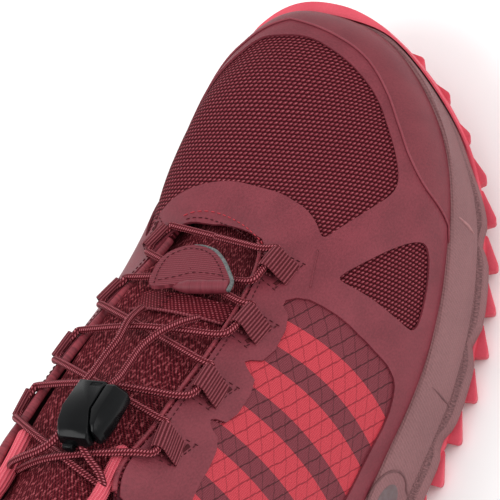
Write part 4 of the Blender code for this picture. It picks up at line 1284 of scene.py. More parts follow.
def make_tongue():
    """Padded tongue, crowned along its middle, with a rolled free edge."""
    x = np.linspace(TONGUE_TABLE["x"][0], TONGUE_TABLE["x"][-1], TONGUE_ROWS)[:, None]
    q = np.linspace(-1, 1, TONGUE_FIBRES)[None, :]
    y = tongue_row("middle_y", x) + q * tongue_row("half_width", x)
    cheek = ramp(q, *CHEEK_RISE) * (1 - CHEEK_FALL * ramp(q, CHEEK_RISE[1], 1.0))
    cheek = CHEEK_LIFT * cheek * ramp(x, *CHEEK_BACK) * (1 - ramp(x, *CHEEK_FRONT))
    place = over_tongue(x, y, cheek).reshape(-1, 3)
    faces = grid_faces(TONGUE_ROWS, TONGUE_FIBRES)
    piece = facing_up(make_mesh("tongue_pad", place, faces, [tongue_finish()], weave_only(place)))
    rolled = round_edges(thicken(piece, TONGUE_THICK), TONGUE_ROUND, 3)
    finished(rolled, "maroon_mesh", "tongue")


def loop_turn(s):
    """Cosine and sine of a loop's turn from straight down the upper."""
    turn = math.radians(OUTER_TURNS[OUTER_LOOPS.index(s)]) if s in OUTER_LOOPS else 0.0
    return math.cos(turn), math.sin(turn)


def loop_frame(s):
    """Place and directions of a lace loop: ahead along the opening, out down the upper, and up off it."""
    up = upper_normal(s, LOOP_T)
    place = upper_point(s, LOOP_T) + up * (GAP + OVERLAY + (INNER_LIFT if s > HEEL else LOOP_LIFT))
    out = unit(upper_point(s, LOOP_T - 0.02) - upper_point(s, LOOP_T + 0.02))
    ahead = np.cross(out, up)
    ahead = ahead * np.sign(ahead[0])
    cosine, sine = loop_turn(s)
    return place, ahead * cosine + out * sine, out * cosine - ahead * sine, up


def loop_eye(s, ahead_by):
    """Middle of a loop's eye, or a place ahead of it."""
    place, ahead, out, up = loop_frame(s)
    height = LOOP_EYE_V * (INNER_SQUASH if s > HEEL else 1.0)
    return place + out * LOOP_EYE_U + up * height + ahead * ahead_by


# Webbing from the slit in the eyestay, over the eye and back under it: out from the eye, height
LOOP_PATH = (
    (5.3, -0.9), (4.7, -0.1), (3.3, 0.6), (1.4, 2.0), (-0.2, 3.2), (-1.6, 3.6), (-2.9, 3.1), (-3.4, 1.9),
    (-2.9, 0.6), (-1.6, 0.05), (0.8, -0.1),
)
# Distances of the slit and of the seam below it out from the eye
LOOP_SLIT, LOOP_SEAM = 5.0, 6.4
# Out from the eye, the webbing comes to follow the film
TAIL_LIES = (-0.5, 3.0)
# Lengthwise rows of the webbing, in loop lengths, and how far its sides curl in
WEBBING_ENDS, WEBBING_SINK = (-0.5, -0.485, -0.2, 0.2, 0.485, 0.5), (0.35, 0.05, 0.0, 0.0, 0.05, 0.35)
# The dark tube in each slit, a painted shade: lift, radius and flatness
SLIT_LIFT, SLIT_RADIUS, SLIT_FLAT = 0.86, 0.6, 0.4
LOOP_STEP, WEBBING_THICK, RIB_PITCH, RIB_DEPTH = 0.2, 0.6, 1.0, 0.24


def loop_spot(s, ahead, out):
    """Section and height on the upper of places ahead of and out from a loop's middle."""
    ds, dt = 0.05, 0.02
    wall = np.linalg.norm(upper_point(s, LOOP_T + dt) - upper_point(s, LOOP_T - dt)) / (2 * dt)
    pace = np.linalg.norm(upper_point(s + ds, LOOP_T) - upper_point(s - ds, LOOP_T)) / (2 * ds)
    cosine, sine = loop_turn(s)
    toe_way = 1 if s > HEEL else -1
    row = s + toe_way * (ahead * cosine - out * sine) / pace
    return row, LOOP_T - (out * cosine + ahead * sine) / wall


def beside_loop(s, reach, first, last, count):
    """A row across a loop's tail on the upper: reach in loop lengths, distances out from its middle."""
    return loop_spot(s, np.linspace(*reach, count) * LOOP_LENGTH, np.linspace(first, last, count))


def make_loops():
    """Ribbed webbing loops, four on each side of the throat, and dark tubes of painted shade in the slits
    that their tails enter.
    """
    # The loops' ribs take painted shade in their troughs and a painted highlight on their crests
    webbing = webbing_finish("burgundy_webbing", look().lace_dark, look().webbing, look().webbing_light)
    path = spaced(LOOP_PATH, LOOP_STEP)
    length = np.arange(len(path)) * LOOP_STEP
    tangent = unit(np.gradient(path, axis=0))
    normal = np.stack([tangent[:, 1], -tangent[:, 0]], axis=-1)
    rib = RIB_DEPTH * (0.5 + 0.5 * np.cos(2 * math.pi * length / RIB_PITCH))
    ends = np.array(WEBBING_ENDS) * LOOP_LENGTH
    flat = path + normal * rib[:, None] - normal * np.array(WEBBING_SINK)[:, None, None]
    faces, uvs = grid_faces(*flat.shape[:2]), uv_grid(length[None, :], ends[:, None])
    for side, places in (("outer", OUTER_LOOPS), ("inner", INNER_LOOPS)):
        squash = INNER_SQUASH if side == "inner" else 1.0
        for k, s in enumerate(places):
            place, ahead, out, up = loop_frame(s)
            points = place + flat[..., :1] * out + squash * flat[..., 1:] * up + ends[:, None, None] * ahead
            row, t = loop_spot(s, ends[:, None], path[None, :, 0])
            flat_film = path[None, :, :1] * out + ends[:, None, None] * ahead
            fall = (upper_point(row, t) - upper_point(s, LOOP_T) - flat_film) @ up
            points += (fall * ramp(path[:, 0], *TAIL_LIES))[..., None] * up
            name = f"lace_loop_{side}_{k + 1}"
            piece = make_mesh(name + "_webbing", points.reshape(-1, 3), faces, [webbing], {"strap": uvs})
            facing(piece, len(path) // 4, up)
            finished(thicken(piece, WEBBING_THICK, sharp=60), "burgundy_webbing", name)
    # Each slit is drawn as a dark tube of painted shade
    dark = mottled("slit_shade", 0.8, 900, look().knit_dark, look().lace_dark)
    slit_shadows = []
    for s in OUTER_LOOPS + INNER_LOOPS:
        route = on_upper(*beside_loop(s, (-0.48, 0.48), LOOP_SLIT, LOOP_SLIT, 12), SLIT_LIFT)
        out = np.tile(loop_frame(s)[2], (len(route), 1))
        slit_shadows.append(sweep("slit", route, SLIT_RADIUS, 10, dark, "strap", SLIT_FLAT, out))
    slit_shadows[0].name = "loop_slits"
    finished(joined(*slit_shadows), "burgundy_webbing")


def lace_ends(s, way):
    """Where the lace leaves a loop, to the toe (way 1) or heel (-1), and clears the opening's edge."""
    room = 0.5 * LACE + (INNER_ROOM if s > HEEL else 2 * GAP)
    reach = 0.5 * LOOP_LENGTH + room
    leave = loop_eye(s, way * reach)
    if s > HEEL:
        leave -= INNER_LOWER * upper_normal(s, LOOP_T) + INNER_IN * loop_frame(s)[2]
    pace = around("top_x", s + 0.5) - around("top_x", s - 0.5)
    return [leave, on_upper(s + way * reach / pace, FILM_HIGH, GAP + OVERLAY + room)]


def span(start, end, hump, knots=7):
    """Lace between two lists of points, laid over the tongue, passing over or under its neighbour."""
    f = np.linspace(0, 1, knots)
    middle = start[-1] * (1 - f)[:, None] + end[-1] * f[:, None]
    ride = tongue_z(middle[:, 0], middle[:, 1]) + LACE_OVER + 0.5 * LACE
    bow = max(0.0, ride[knots // 2] - middle[knots // 2, 2])
    middle[:, 2] = np.maximum(ride, middle[:, 2] + bow * 4 * f * (1 - f)) + hump * np.sin(math.pi * f) ** 4
    middle[0], middle[-1] = start[-1], end[-1]
    return np.vstack([*start[:-1], middle, *reversed(end[:-1])])


def lace_route(first_outer):
    """One half of the lace, from the throat bar's middle through its loops to a top eyelet."""
    sides = (OUTER_LOOPS, INNER_LOOPS) if first_outer else (INNER_LOOPS, OUTER_LOOPS)
    bar = span(lace_ends(sides[0][0], 1), lace_ends(sides[1][0], 1), 0.0)
    route = [bar[len(bar) // 2:: -1]]
    for k in range(4):
        here, there = sides[k % 2], sides[(k + 1) % 2]
        route.append(loop_eye(here[k], 0.0)[None, :])
        if k < 3:
            target = lace_ends(there[k + 1], 1)
        else:
            x, y = TOP_EYELETS[0 if there is OUTER_LOOPS else 1]
            target = [over_tongue(x, y, LACE_OVER + 0.5 * LACE)]
        hump = LACE_RISE if first_outer == (k % 2 == 0) else LACE_DIP
        route.append(span(lace_ends(here[k], -1), target, hump))
    return np.vstack(route)


# Free lace from a top eyelet through the lock to the band across the tongue: x, y, height over the tongue
FREE_LACE = {
    "outer": (
        (101.2, -11.5, 5.2), (103.5, -10.9, 6.7), (106.5, -9.0, 7.0), (109.3, -6.0, 7.1), (112.5, -3.6, 8.0),
        (117.0, -2.6, 9.2), (124.0, -2.2, 9.6), (130.0, -2.8, 9.0), (134.0, -3.0, 7.9), (139.0, -2.4, 7.0),
        (145.0, -2.5, 7.0), (150.5, -4.4, 7.3), (155.0, -7.2, 7.2), (158.5, -9.4, 5.6),
    ),
    "inner": (
        (105.0, 20.4, 5.4), (106.0, 17.0, 6.9), (107.2, 12.0, 6.9), (109.2, 6.6, 7.2), (112.5, 3.2, 8.2),
        (117.0, 2.4, 9.2), (124.0, 3.0, 9.6), (130.0, 4.2, 9.0), (134.4, 4.8, 7.9), (140.0, 5.6, 7.0),
        (146.5, 5.4, 7.0), (153.0, 7.2, 6.6), (157.5, 8.4, 4.9), (160.0, 9.0, 3.4),
    ),
}


def make_laces():
    """The lace through its loops, and its free runs through the lock."""
    braid = lace_finish()
    crossings = [f"lace_cross_{k}" for k in range(1, 5)]
    for k, first_outer, nodes in ((1, True, ("lace_bar", *crossings)), (2, False, ())):
        route = spaced(eased(lace_route(first_outer)), LACE_STEP)
        half = sweep(f"lace_half_{k}", route, LACE / 2, LACE_SIDES, braid, "braid")
        finished(half, "burgundy_webbing", *nodes)
    for side, plan in FREE_LACE.items():
        route = spaced(over_tongue(*np.array(plan).T), LACE_STEP)
        piece = sweep(f"lace_free_{side}", route, LACE / 2, LACE_SIDES, braid, "braid")
        finished(piece, "burgundy_webbing", f"lace_to_lock_{side}", f"lace_end_{side}")


# Middle of the lock over the tongue, and its slope in degrees
LOCK_X, LOCK_Y, LOCK_LIFT, LOCK_SLOPE = 120.8, -3.0, 8.8, 25.0
# Mouldings of the lock: place along it, middle, half width, half thickness
LOCK_BODY = (
    (-9.8, 3.2, 3.9, 2.4), (-8.9, 3.35, 4.45, 3.5), (1.0, 3.2, 4.6, 4.2), (6.2, 1.6, 5.1, 3.9),
    (8.2, 0.9, 5.0, 2.9), (9.5, 0.6, 4.5, 1.8),
)
LOCK_BUTTON = (
    (-9.2, -3.6, 2.5, 2.5), (-8.0, -4.1, 2.9, 3.5), (1.0, -4.2, 2.8, 3.9), (5.6, -4.9, 1.6, 3.5),
    (7.4, -5.2, 0.9, 2.2),
)
LOCK_STEM = ((7.5, 2.6, 1.7, 1.3), (11.0, 2.4, 1.5, 1.1))
LOCK_SLOT = ((-8.3, 1.2, 1.7, 0.7), (-7.0, 1.2, 1.7, 0.7))
BODY_OUTLINE = ((1, 0.45), (0.8, 1), (-0.93, 1), (-1, 0.85), (-1, -0.6), (-0.7, -1), (0.7, -1), (1, -0.5))
BUTTON_OUTLINE = ((1, 0.8), (0.85, 1), (-0.05, 1), (-1, 0.1), (-1, -0.6), (-0.6, -1), (0.6, -1), (1, -0.6))
BOX_OUTLINE = ((1, 1), (-1, 1), (-1, -1), (1, -1))
# Heights of the slot and the stem over the lock's middle, and the rounding of each moulding's edges
SLOT_LIFT, STEM_LIFT = 3.9, -1.6
BODY_ROUND, STEM_ROUND, BUTTON_ROUND = 0.32, 0.4, 0.3


def lock_axes():
    """Middle of the lock, and its directions along, across and up."""
    slope = math.radians(LOCK_SLOPE)
    centre = over_tongue(LOCK_X, LOCK_Y, LOCK_LIFT)
    run = np.array([-math.cos(slope), 0.0, math.sin(slope)])
    return centre, run, np.array([0.0, 1.0, 0.0]), np.array([math.sin(slope), 0.0, math.cos(slope)])


def lock_loft(name, stations, outline, material, lift=0.0):
    """A moulding lofted through its stations."""
    centre, run, across, up = lock_axes()
    n = len(outline)
    points = [
        centre + run * u + across * (middle + half * a) + up * (thick * b + lift)
        for u, middle, half, thick in stations
        for a, b in outline
    ]
    faces = grid_faces(len(stations), n, True)
    faces += [tuple(range(n)), tuple(range(len(points) - 1, len(points) - n - 1, -1))]
    return outward(make_mesh(name, points, faces, [material], smooth=False))


def make_lock():
    """Cord lock: a moulded body with a slot and a stem at its heel end, and the button beside it."""
    plastic = plastic_finish()
    body = lock_loft("lace_lock_body", LOCK_BODY, BODY_OUTLINE, plastic)
    slot = lock_loft("slot", LOCK_SLOT, BOX_OUTLINE, plastic, SLOT_LIFT)
    cut = body.modifiers.new("slot", "BOOLEAN")
    cut.operation = "DIFFERENCE"
    cut.solver = "EXACT"
    cut.object = slot
    round_edges(body, BODY_ROUND, 2)
    bpy.data.objects.remove(slot)
    stem = lock_loft("stem", LOCK_STEM, BOX_OUTLINE, plastic, STEM_LIFT)
    finished(joined(body, round_edges(stem, STEM_ROUND, 2)), "black_plastic", "lace_lock")
    button = lock_loft("lace_lock_press", LOCK_BUTTON, BUTTON_OUTLINE, plastic)
    finished(round_edges(button, BUTTON_ROUND, 2), "black_plastic", "lace_lock_button")


# Tab: line it lies flat from, lift of its underside, flatness over the tongue, thickness, scale of its ribs
TAB_Y, TAB_LIFT, TAB_FLAT, TAB_THICK, TAB_RIBS = 2.6, 5.4, 0.7, 1.1, 1.3
# Outline, stitched line, cut edge and rolled fold of the tab, as pixels of the photograph
TAB_PX = (
    (147, 285), (153, 270), (161, 257.5), (170.5, 250.5), (188, 244.5), (202, 245.5), (214, 250.5),
    (222.5, 260.5), (228.5, 274), (230.5, 282), (226.5, 287), (205, 281), (190, 281), (172, 284), (158, 286),
)
TAB_STITCH_PX = ((160, 279.5), (177.5, 276), (192, 272.5), (207, 273), (219.5, 275))
TAB_EDGE_PX = (
    (194, 244.5), (203, 245.5), (214.5, 250.5), (223, 260.5), (229, 274), (231, 282), (227.5, 290),
)
TAB_ROLL_PX = ((170, 284), (180, 285), (194, 285), (210, 285), (226, 285))
# Patch of the tongue searched for the tab: first place and size along and across
PATCH_X, PATCH_Y = (150.0, 45.0), (-20.0, 40.0)
# Tab's cut edge and rolled fold: radius and rise over the tab's underside; share of the tab inside its seam
TAB_EDGE, TAB_EDGE_LIFT, TAB_FOLD, TAB_FOLD_LIFT, TAB_SEAM = 0.62, 0.6 * TAB_THICK, 1.9, -0.4, 0.83
# Woven band: ends of its middle line in plan, width and lift; face, thickness and cords at its edges;
# length on its map, radius and height of its hem, lines across it that are sewn, height of their stitches
BAND_FROM, BAND_TO, BAND_WIDTH, BAND_LIFT = (164.5, 17.0), (162.8, -13.0), 6.6, 0.45
BAND_FACE, BAND_THICK, BAND_CORD, BAND_CORD_FROM = 0.8, 0.7, 0.35, 0.44
BAND_RUN, BAND_HEM, BAND_HEM_LIFT, BAND_TACKS, BAND_STITCH = 30.0, 0.4, 0.9, (5.6, 4.6), 0.95


def tab_place(x, y, lift):
    """Points over the tongue, flatter across than its top face."""
    place = over_tongue(x, y, lift)
    place[..., 2] += TAB_FLAT * (tongue_z(x, TAB_Y) - tongue_z(x, y))
    return place


def tab_patch(s, t):
    """Plan of a patch of the tongue under the tab, in the ranges that cast searches."""
    low, high = CAST_SECTIONS[[0, -1]]
    share = (np.asarray(s) - low) / (high - low)
    return PATCH_X[0] + PATCH_X[1] * np.asarray(t), PATCH_Y[0] + PATCH_Y[1] * share


def on_tab(pixels):
    """Plan of pixels on the tab's upper face."""
    found = cast(pixels, lambda s, t: tab_place(*tab_patch(s, t), TAB_LIFT + TAB_THICK))
    return np.stack(tab_patch(*found.T), axis=-1)


def make_tab():
    """Half-moon tab with ribbed cloth, a pale cut edge and its rolled fold."""
    # The tab's ribs take painted shade between them and a painted highlight on them
    ribbed = webbing_finish("tab_cloth", look().film_shade, look().film, look().film_highlight)
    outline = rounded(on_tab(TAB_PX))
    middle = outline.mean(axis=0)
    grown = middle + (outline - middle) * np.linspace(0.02, 1.0, 24)[:, None, None]
    x, y = grown[..., 0], grown[..., 1]
    place = tab_place(x, y, TAB_LIFT + TAB_THICK).reshape(-1, 3)
    uvs = {"strap": uv_grid(x * TAB_RIBS, y)}
    piece = facing_up(make_mesh("lace_tab_cloth", place, grid_faces(*x.shape, True), [ribbed], uvs))
    finished(thicken(piece, TAB_THICK), "burgundy_webbing", "lace_tab")
    fold_film = film_finish("tab_roll", look().film, look().film_shade)
    for name, pixels, lift, radius, swell, sides, finish, uv_name in (
        ("edge", TAB_EDGE_PX, TAB_EDGE_LIFT, TAB_EDGE, (0.3, 2.5), 10, edge_finish(), "braid"),
        ("fold", TAB_ROLL_PX, TAB_FOLD_LIFT, TAB_FOLD, (0.35, 2.6), 14, fold_film, "weave"),
    ):
        route = tab_place(*spaced(on_tab(pixels), 0.5).T, TAB_LIFT + lift)
        taper = radius * np.clip(np.linspace(*swell, len(route)), 0, 1)
        finished(sweep(f"lace_tab_{name}", route, taper, sides, finish, uv_name), "burgundy_webbing")


def make_band():
    """Woven band across the tongue behind the tab, with corded edges and a pale hem."""
    f = np.linspace(0, 1, 50)[None, :]
    g = np.linspace(-0.5, 0.5, 9)[:, None] * BAND_WIDTH
    start, end = np.array(BAND_FROM), np.array(BAND_TO)
    way = unit(end - start)
    x = start[0] + (end[0] - start[0]) * f - way[1] * g
    y = start[1] + (end[1] - start[1]) * f + way[0] * g
    cord_edge = BAND_CORD * (np.abs(g) > BAND_CORD_FROM * BAND_WIDTH)
    place = over_tongue(x, y, BAND_LIFT + BAND_FACE + cord_edge).reshape(-1, 3)
    uvs = {"strap": uv_grid(f * BAND_RUN, g)}
    piece = facing_up(make_mesh("tongue_band_cloth", place, grid_faces(*x.shape), [twill_finish()], uvs))
    finished(thicken(piece, BAND_THICK), "burgundy_webbing", "tongue_band")
    hem = over_tongue(x[0], y[0], BAND_LIFT + BAND_HEM_LIFT)
    finished(sweep("tongue_band_hem", hem, BAND_HEM, 8, hem_finish(), "braid"), "burgundy_webbing")


# Coral loops: half width, height over the tongue and plan; knots of the rounded ends, flatness, ribs
CORAL_END, CORAL_FLAT, CORAL_RIBS = 5.0, 0.75, 14.0
CORAL_LOOPS = {
    "outer": (2.1, 5.3, ((115.4, -10.8), (109.0, -10.7), (100.5, -10.8), (95.5, -11.2))),
    "inner": (3.1, 5.3, ((117.2, 21.4), (108.5, 21.0), (101.0, 20.4), (94.0, 19.0))),
}


def make_coral_loops():
    """Gathered coral webbing at the top eyelets."""
    coral = gathered_finish()
    for side, (half_width, lift, plan) in CORAL_LOOPS.items():
        plan = np.array(plan)
        route = spaced(over_tongue(plan[:, 0], plan[:, 1], lift), 0.4)
        x, y = route[:, 0], route[:, 1]
        lean = unit(over_tongue(x, y + 1.0, 0.0) - over_tongue(x, y, 0.0))
        knot = np.arange(len(route))
        end = np.clip(np.minimum(knot, knot[::-1]) / CORAL_END, 0.08, 1)
        radius = half_width * np.sqrt(1 - (1 - end) ** 2)
        name = f"eyelet_loop_{side}"
        piece = sweep(name + "_webbing", route, radius, 24, coral, "strap", CORAL_FLAT, lean, CORAL_RIBS)
        finished(piece, "coral_webbing", name)


def stitch_tree(material):
    """Geometry Nodes: short stitches laid end to end along every route of a curve."""
    tree = bpy.data.node_groups.new("stitch_run", "GeometryNodeTree")
    tree.interface.new_socket("Geometry", in_out="INPUT", socket_type="NodeSocketGeometry")
    sizes = {}
    for name in ("Pitch", "Length", "Thread"):
        socket = tree.interface.new_socket(name, in_out="INPUT", socket_type="NodeSocketFloat")
        sizes[name] = socket.identifier
    tree.interface.new_socket("Geometry", in_out="OUTPUT", socket_type="NodeSocketGeometry")
    kinds = {
        "entry": "NodeGroupInput",
        "points": "GeometryNodeCurveToPoints",
        "capsule": "GeometryNodeMeshUVSphere",
        "size": "ShaderNodeCombineXYZ",
        "stretch": "GeometryNodeTransform",
        "turn": "FunctionNodeAlignRotationToVector",
        "place": "GeometryNodeInstanceOnPoints",
        "realise": "GeometryNodeRealizeInstances",
        "paint": "GeometryNodeSetMaterial",
        "leave": "NodeGroupOutput",
    }
    nodes = {name: tree.nodes.new(kind) for name, kind in kinds.items()}
    nodes["points"].mode, nodes["turn"].axis = "LENGTH", "Z"
    for name, value in (("Segments", 6), ("Rings", 4), ("Radius", 0.5)):
        nodes["capsule"].inputs[name].default_value = value
    nodes["paint"].inputs["Material"].default_value = material
    for start, output, end, socket in (
        ("entry", "Geometry", "points", "Curve"),
        ("entry", "Pitch", "points", "Length"),
        ("entry", "Thread", "size", "X"),
        ("entry", "Thread", "size", "Y"),
        ("entry", "Length", "size", "Z"),
        ("capsule", "Mesh", "stretch", "Geometry"),
        ("size", "Vector", "stretch", "Scale"),
        ("points", "Points", "place", "Points"),
        ("stretch", "Geometry", "place", "Instance"),
        ("points", "Tangent", "turn", "Vector"),
        ("turn", "Rotation", "place", "Rotation"),
        ("place", "Instances", "realise", "Geometry"),
        ("realise", "Geometry", "paint", "Geometry"),
        ("paint", "Geometry", "leave", "Geometry"),
    ):
        tree.links.new(nodes[start].outputs[output], nodes[end].inputs[socket])
    return tree, sizes


# Stitches: height over the upper, row along the throat, its step up from the coral row, height over cloth
STITCH_LIFT, THROAT_T, THROAT_STEP, STITCH_OVER = 0.95, 0.966, 0.022, 0.1
# Rows round a loop's tail: reach in loop lengths, first distance out from its middle, points
LOOP_ROWS = (((-0.52, 0.52), LOOP_SEAM, 16), ((-0.62, -0.62), 1.0, 12), ((0.62, 0.62), 1.0, 12))


def throat_row(up):
    """The row of stitches round the toe end of the throat, moved up the upper."""
    s, t = smoothed(cast_to_upper(THROAT_STITCH_PX), 1.0).T
    return on_upper(s, t + up, STITCH_LIFT)


def dark_rows():
    """Rows sewn with dark thread: along the throat, round the loops' tails, and on the tab and the band."""
    rows = [throat_row(THROAT_STEP)]
    for places in (OUTER_LOOPS, INNER_LOOPS):
        rows.append(on_upper(np.linspace(places[0], places[-1], 120), THROAT_T, STITCH_LIFT))
    for s in OUTER_LOOPS + INNER_LOOPS:
        for reach, first, count in LOOP_ROWS:
            rows.append(on_upper(*beside_loop(s, reach, first, LOOP_SEAM, count), STITCH_LIFT))
    outline = on_tab(TAB_PX)
    middle = outline.mean(axis=0)
    for route in (middle + TAB_SEAM * (outline[:10] - middle), on_tab(TAB_STITCH_PX)):
        rows.append(tab_place(*spaced(route, 0.5).T, TAB_LIFT + TAB_THICK + STITCH_OVER))
    x = np.linspace(-0.45, 0.45, 20) * BAND_WIDTH + BAND_FROM[0]
    return rows + [over_tongue(x, y, BAND_LIFT + BAND_STITCH) for y in BAND_TACKS]


def make_stitches():
    """Sew the dark rows and the coral row round the throat."""
    dark = mottled("dark_thread", 0.7, 2500, look().thread, look().lace_dark)
    coral = mottled("coral_thread", 0.7, 2500, look().print_coral, look().print_shade)
    sewn("stitching", dark_rows(), dark, Pitch=1.8 * MM, Length=1.25 * MM, Thread=0.36 * MM)
    sewn("stitching_throat", [throat_row(0.0)], coral, Pitch=2.0 * MM, Length=1.5 * MM, Thread=0.34 * MM)


def sewn(name, rows, thread, **sizes):
    """One mesh of stitches along its rows."""
    curve = bpy.data.curves.new(name, "CURVE")
    curve.dimensions = "3D"
    for row in rows:
        spline = curve.splines.new("POLY")
        spline.points.add(len(row) - 1)
        for knot, point in zip(spline.points, to_frame(row)):
            knot.co = (*point, 1.0)
    route = placed("stitch_routes", curve)
    run = route.modifiers.new("stitches", "NODES")
    run.node_group, sockets = stitch_tree(thread)
    for key, value in sizes.items():
        run[sockets[key]] = value
    mesh = plain_mesh(route)
    bpy.data.objects.remove(route)
    mesh.shade_smooth()
    finished(placed(name, mesh), "burgundy_webbing")


# Lamps: place from the shoe's middle and size, in metres; half the floor's side
LAMPS = {"key": ((-0.55, 0.65, 1.25), 0.9), "side": ((0.4, -1.2, 0.9), 1.2)}
FLOOR_HALF = 3.0


def turned(right, up, back, place):
    """The matrix of a lamp or camera from its directions and its place in metres."""
    return Matrix.Translation(place) @ Matrix(np.stack([right, up, back], axis=-1).tolist()).to_4x4()


def make_stage():
    """Pale floor, soft studio light and the camera at the photograph's angle."""
    scene = bpy.context.scene
    stage = scene.shoe_stage
    floor = bpy.data.meshes.new("floor")
    corners = [(x * FLOOR_HALF, y * FLOOR_HALF, 0) for x, y in ((-1, -1), (1, -1), (1, 1), (-1, 1))]
    floor.from_pydata(corners, [], [(0, 1, 2, 3)])
    pale = Finish("pale_floor", 0.9)
    pale.shader.inputs["Base Color"].default_value = (*stage.floor, 1.0)
    floor.materials.append(pale.material)
    placed("floor", floor)
    world = bpy.data.worlds.new("studio")
    world.use_nodes = True
    sky = world.node_tree.nodes["Background"]
    sky.inputs["Color"].default_value = (1, 1, 1, 1)
    sky.inputs["Strength"].default_value = stage.fill
    scene.world = world
    for name, (offset, size) in LAMPS.items():
        lamp = bpy.data.lights.new(name, "AREA")
        lamp.shape = "DISK"
        lamp.size = size
        lamp.energy = getattr(stage, name)
        away = unit(np.array(offset))
        side = unit(np.cross((0.0, 0.0, 1.0), away))
        place = to_frame(CAMERA_AIM) + np.array(offset)
        placed(name, lamp).matrix_world = turned(side, np.cross(away, side), away, place)
    camera = bpy.data.cameras.new("camera")
    camera.sensor_width = SENSOR
    camera.lens = CAMERA_FOCAL / IMAGE_SIDE * SENSOR
    camera.clip_start = 0.01
    scene.camera = placed("camera", camera)
    *axes, place = camera_axes()
    scene.camera.matrix_world = turned(*axes, to_frame(place))
    scene.view_settings.view_transform = "Standard"


def colour(name, description, default):
    limits = {"subtype": "COLOR", "min": 0.0, "max": 1.0}
    return FloatVectorProperty(name=name, description=description, default=default, **limits)


class ShoeLook(bpy.types.PropertyGroup):
    """Colours and cloth sizes of the shoe; cloth sizes are in millimetres."""

    knit_pitch: FloatProperty(name="Knit pitch", description="Spacing of the mesh's knots", default=1.65)
    ripstop_pitch: FloatProperty(name="Ripstop pitch", description="Spacing of its grid", default=4.0)
    bar_start: FloatProperty(name="Bar start", description="Bare cloth before the first bar", default=9.0)
    bar_pitch: FloatProperty(name="Bar pitch", description="Spacing of the printed bars", default=15.0)
    bar_width: FloatProperty(name="Bar width", description="Width of a printed bar", default=8.8)
    braid_pitch: FloatProperty(name="Braid pitch", description="Length of one plait of the lace", default=0.8)
    # Painted shade in the mesh's holes, also a dark tone of other cloths; the knots take a painted highlight
    knit_dark: colour("Knit holes", "Dark ground of the mesh", (0.030, 0.001, 0.003))
    knit_mid: colour("Knit yarn", "Yarn of the mesh", (0.150, 0.017, 0.027))
    knit_highlight: colour("Knit knots", "Lit knots of the mesh", (0.37, 0.10, 0.12))
    film: colour("Film", "Welded film", (0.184, 0.027, 0.040))
    # Also the painted shade between the tab's ribs
    film_shade: colour("Film shade", "Darker film", (0.124, 0.016, 0.0255))
    # Painted highlight on the films' raised bead and on the tab's ribs
    film_highlight: colour("Film bead", "Paler film on raised lines", (0.22, 0.042, 0.056))
    rand: colour("Rand", "Film low round the toe", (0.172, 0.025, 0.036))
    ripstop: colour("Ripstop", "Ripstop cloth", (0.185, 0.030, 0.043))
    ripstop_shade: colour("Ripstop shade", "Ripstop cloth between threads", (0.105, 0.013, 0.021))
    ripstop_line: colour("Ripstop grid", "Grid threads of the ripstop", (0.05, 0.004, 0.008))
    print_coral: colour("Print", "Printed bars", (0.52, 0.045, 0.062))
    print_shade: colour("Print shade", "Printed bars between threads", (0.33, 0.022, 0.036))
    print_line: colour("Print grid", "Grid threads under the print", (0.22, 0.012, 0.022))
    coral: colour("Rubber", "Tread rubber", (0.66, 0.086, 0.122))
    # Also the painted shade in the coral webbing's creases
    coral_shade: colour("Rubber shade", "Darker tread rubber", (0.57, 0.063, 0.095))
    # Painted highlight on the coral webbing's ribs
    coral_highlight: colour("Webbing knots", "Lit yarn of the coral webbing", (0.85, 0.30, 0.34))
    foam: colour("Foam", "Midsole foam", (0.25, 0.112, 0.117))
    foam_shade: colour("Foam shade", "Darker midsole foam", (0.185, 0.083, 0.088))
    # Painted highlight on the midsole's raised line
    foam_highlight: colour("Foam ridge", "Pale raised line of the midsole", (0.40, 0.20, 0.20))
    # Also the painted shade of the midsole's cut lines
    foam_groove: colour("Foam groove", "Stipple in the midsole's groove", (0.10, 0.045, 0.048))
    pod: colour("Pod", "Grey eye of the oval on the midsole", (0.15, 0.125, 0.13))
    lace: colour("Lace", "Lace and band", (0.285, 0.041, 0.056))
    # Also the painted shade between the webbing's ribs
    lace_dark: colour("Lace shade", "Lace between its plaits", (0.07, 0.004, 0.008))
    lace_light: colour("Lace flecks", "Light yarn of the lace", (0.46, 0.13, 0.155))
    webbing: colour("Webbing", "Ribs of the webbing", (0.13, 0.016, 0.025))
    # Painted highlight on the webbing's ribs; also a tone of the pale hem
    webbing_light: colour("Webbing light", "Lit yarn of the webbing", (0.28, 0.07, 0.085))
    tongue: colour("Tongue", "Tongue cloth", (0.165, 0.013, 0.022))
    tongue_fleck: colour("Tongue flecks", "Bright yarn of the tongue", (0.54, 0.12, 0.14))
    lining: colour("Lining", "Lining cloth", (0.05, 0.006, 0.011))
    plastic: colour("Plastic", "Cord lock", (0.002, 0.0022, 0.0026))
    plastic_haze: colour("Plastic haze", "Handled parts of the cord lock", (0.004, 0.0045, 0.005))
    edge: colour("Cut edge", "Pale cut edge of the tab", (0.15, 0.155, 0.155))
    edge_shade: colour("Cut edge shade", "Darker grain of the cut edge", (0.075, 0.08, 0.08))
    thread: colour("Thread", "Stitches", (0.04, 0.004, 0.008))


class ShoeStage(bpy.types.PropertyGroup):
    """Floor and light."""

    floor: colour("Floor", "Floor", (0.92, 0.92, 0.92))
    fill: FloatProperty(name="Fill", description="Strength of the light from all round", default=1.0)
    key: FloatProperty(name="Key", description="Power of the main lamp", default=10.0, subtype="POWER")
    side: FloatProperty(name="Side", description="Power of the side lamp", default=8.0, subtype="POWER")


class Build(bpy.types.Operator):
    """Base of the shoe's operators"""

    bl_options = {"REGISTER"}
    makers = ()

    def execute(self, context):
        for maker in self.makers:
            maker()
        return {"FINISHED"}


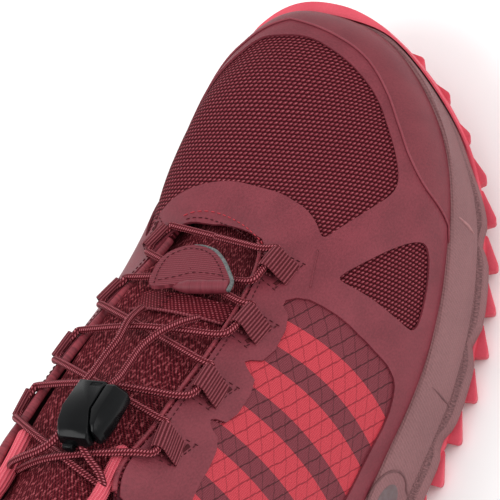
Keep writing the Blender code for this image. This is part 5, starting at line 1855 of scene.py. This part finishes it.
class SHOE_OT_upper(Build):
    """Build the knitted shell, its lining, the collar's padded roll and the throat's binding"""

    bl_idname = "shoe.upper"
    bl_label = "Upper"
    makers = (make_upper,)


class SHOE_OT_overlays(Build):
    """Build the welded films and the ripstop panels under them"""

    bl_idname = "shoe.overlays"
    bl_label = "Overlays"
    makers = (make_overlays, make_ripstop)


class SHOE_OT_sole(Build):
    """Build the midsole with its oval, the outsole and the insole"""

    bl_idname = "shoe.sole"
    bl_label = "Sole"
    makers = (make_midsole, make_pod, make_outsole, make_insole)


class SHOE_OT_tongue(Build):
    """Build the tongue, its woven band and the half-moon tab"""

    bl_idname = "shoe.tongue"
    bl_label = "Tongue"
    makers = (make_tongue, make_tab, make_band)


class SHOE_OT_lacing(Build):
    """Build the webbing loops, the lace, the cord lock and the coral loops"""

    bl_idname = "shoe.lacing"
    bl_label = "Lacing"
    makers = (make_loops, make_laces, make_lock, make_coral_loops)


class SHOE_OT_stitches(Build):
    """Sew the rows of stitches"""

    bl_idname = "shoe.stitches"
    bl_label = "Stitches"
    makers = (make_stitches,)


class SHOE_OT_stage(Build):
    """Set the floor, the light and the camera"""

    bl_idname = "shoe.stage"
    bl_label = "Stage"
    makers = (make_stage,)


OPERATORS = (
    SHOE_OT_upper, SHOE_OT_overlays, SHOE_OT_sole, SHOE_OT_tongue, SHOE_OT_lacing, SHOE_OT_stitches,
    SHOE_OT_stage,
)


class SHOE_PT_panel(bpy.types.Panel):
    """Lists the shoe's operators"""

    bl_idname = "SHOE_PT_panel"
    bl_label = "Trail shoe"
    bl_space_type = "VIEW_3D"
    bl_region_type = "UI"
    bl_category = "Shoe"

    def draw(self, context):
        for operator in OPERATORS:
            self.layout.operator(operator.bl_idname)


CLASSES = (ShoeLook, ShoeStage, *OPERATORS, SHOE_PT_panel)


def register():
    for cls in CLASSES:
        bpy.utils.register_class(cls)
    bpy.types.Scene.shoe_look = PointerProperty(type=ShoeLook)
    bpy.types.Scene.shoe_stage = PointerProperty(type=ShoeStage)


def unregister():
    del bpy.types.Scene.shoe_stage
    del bpy.types.Scene.shoe_look
    for cls in reversed(CLASSES):
        bpy.utils.unregister_class(cls)


def main():
    register()
    for operator in OPERATORS:
        group, name = operator.bl_idname.split(".")
        getattr(getattr(bpy.ops, group), name)()


if __name__ == "__main__":
    main()
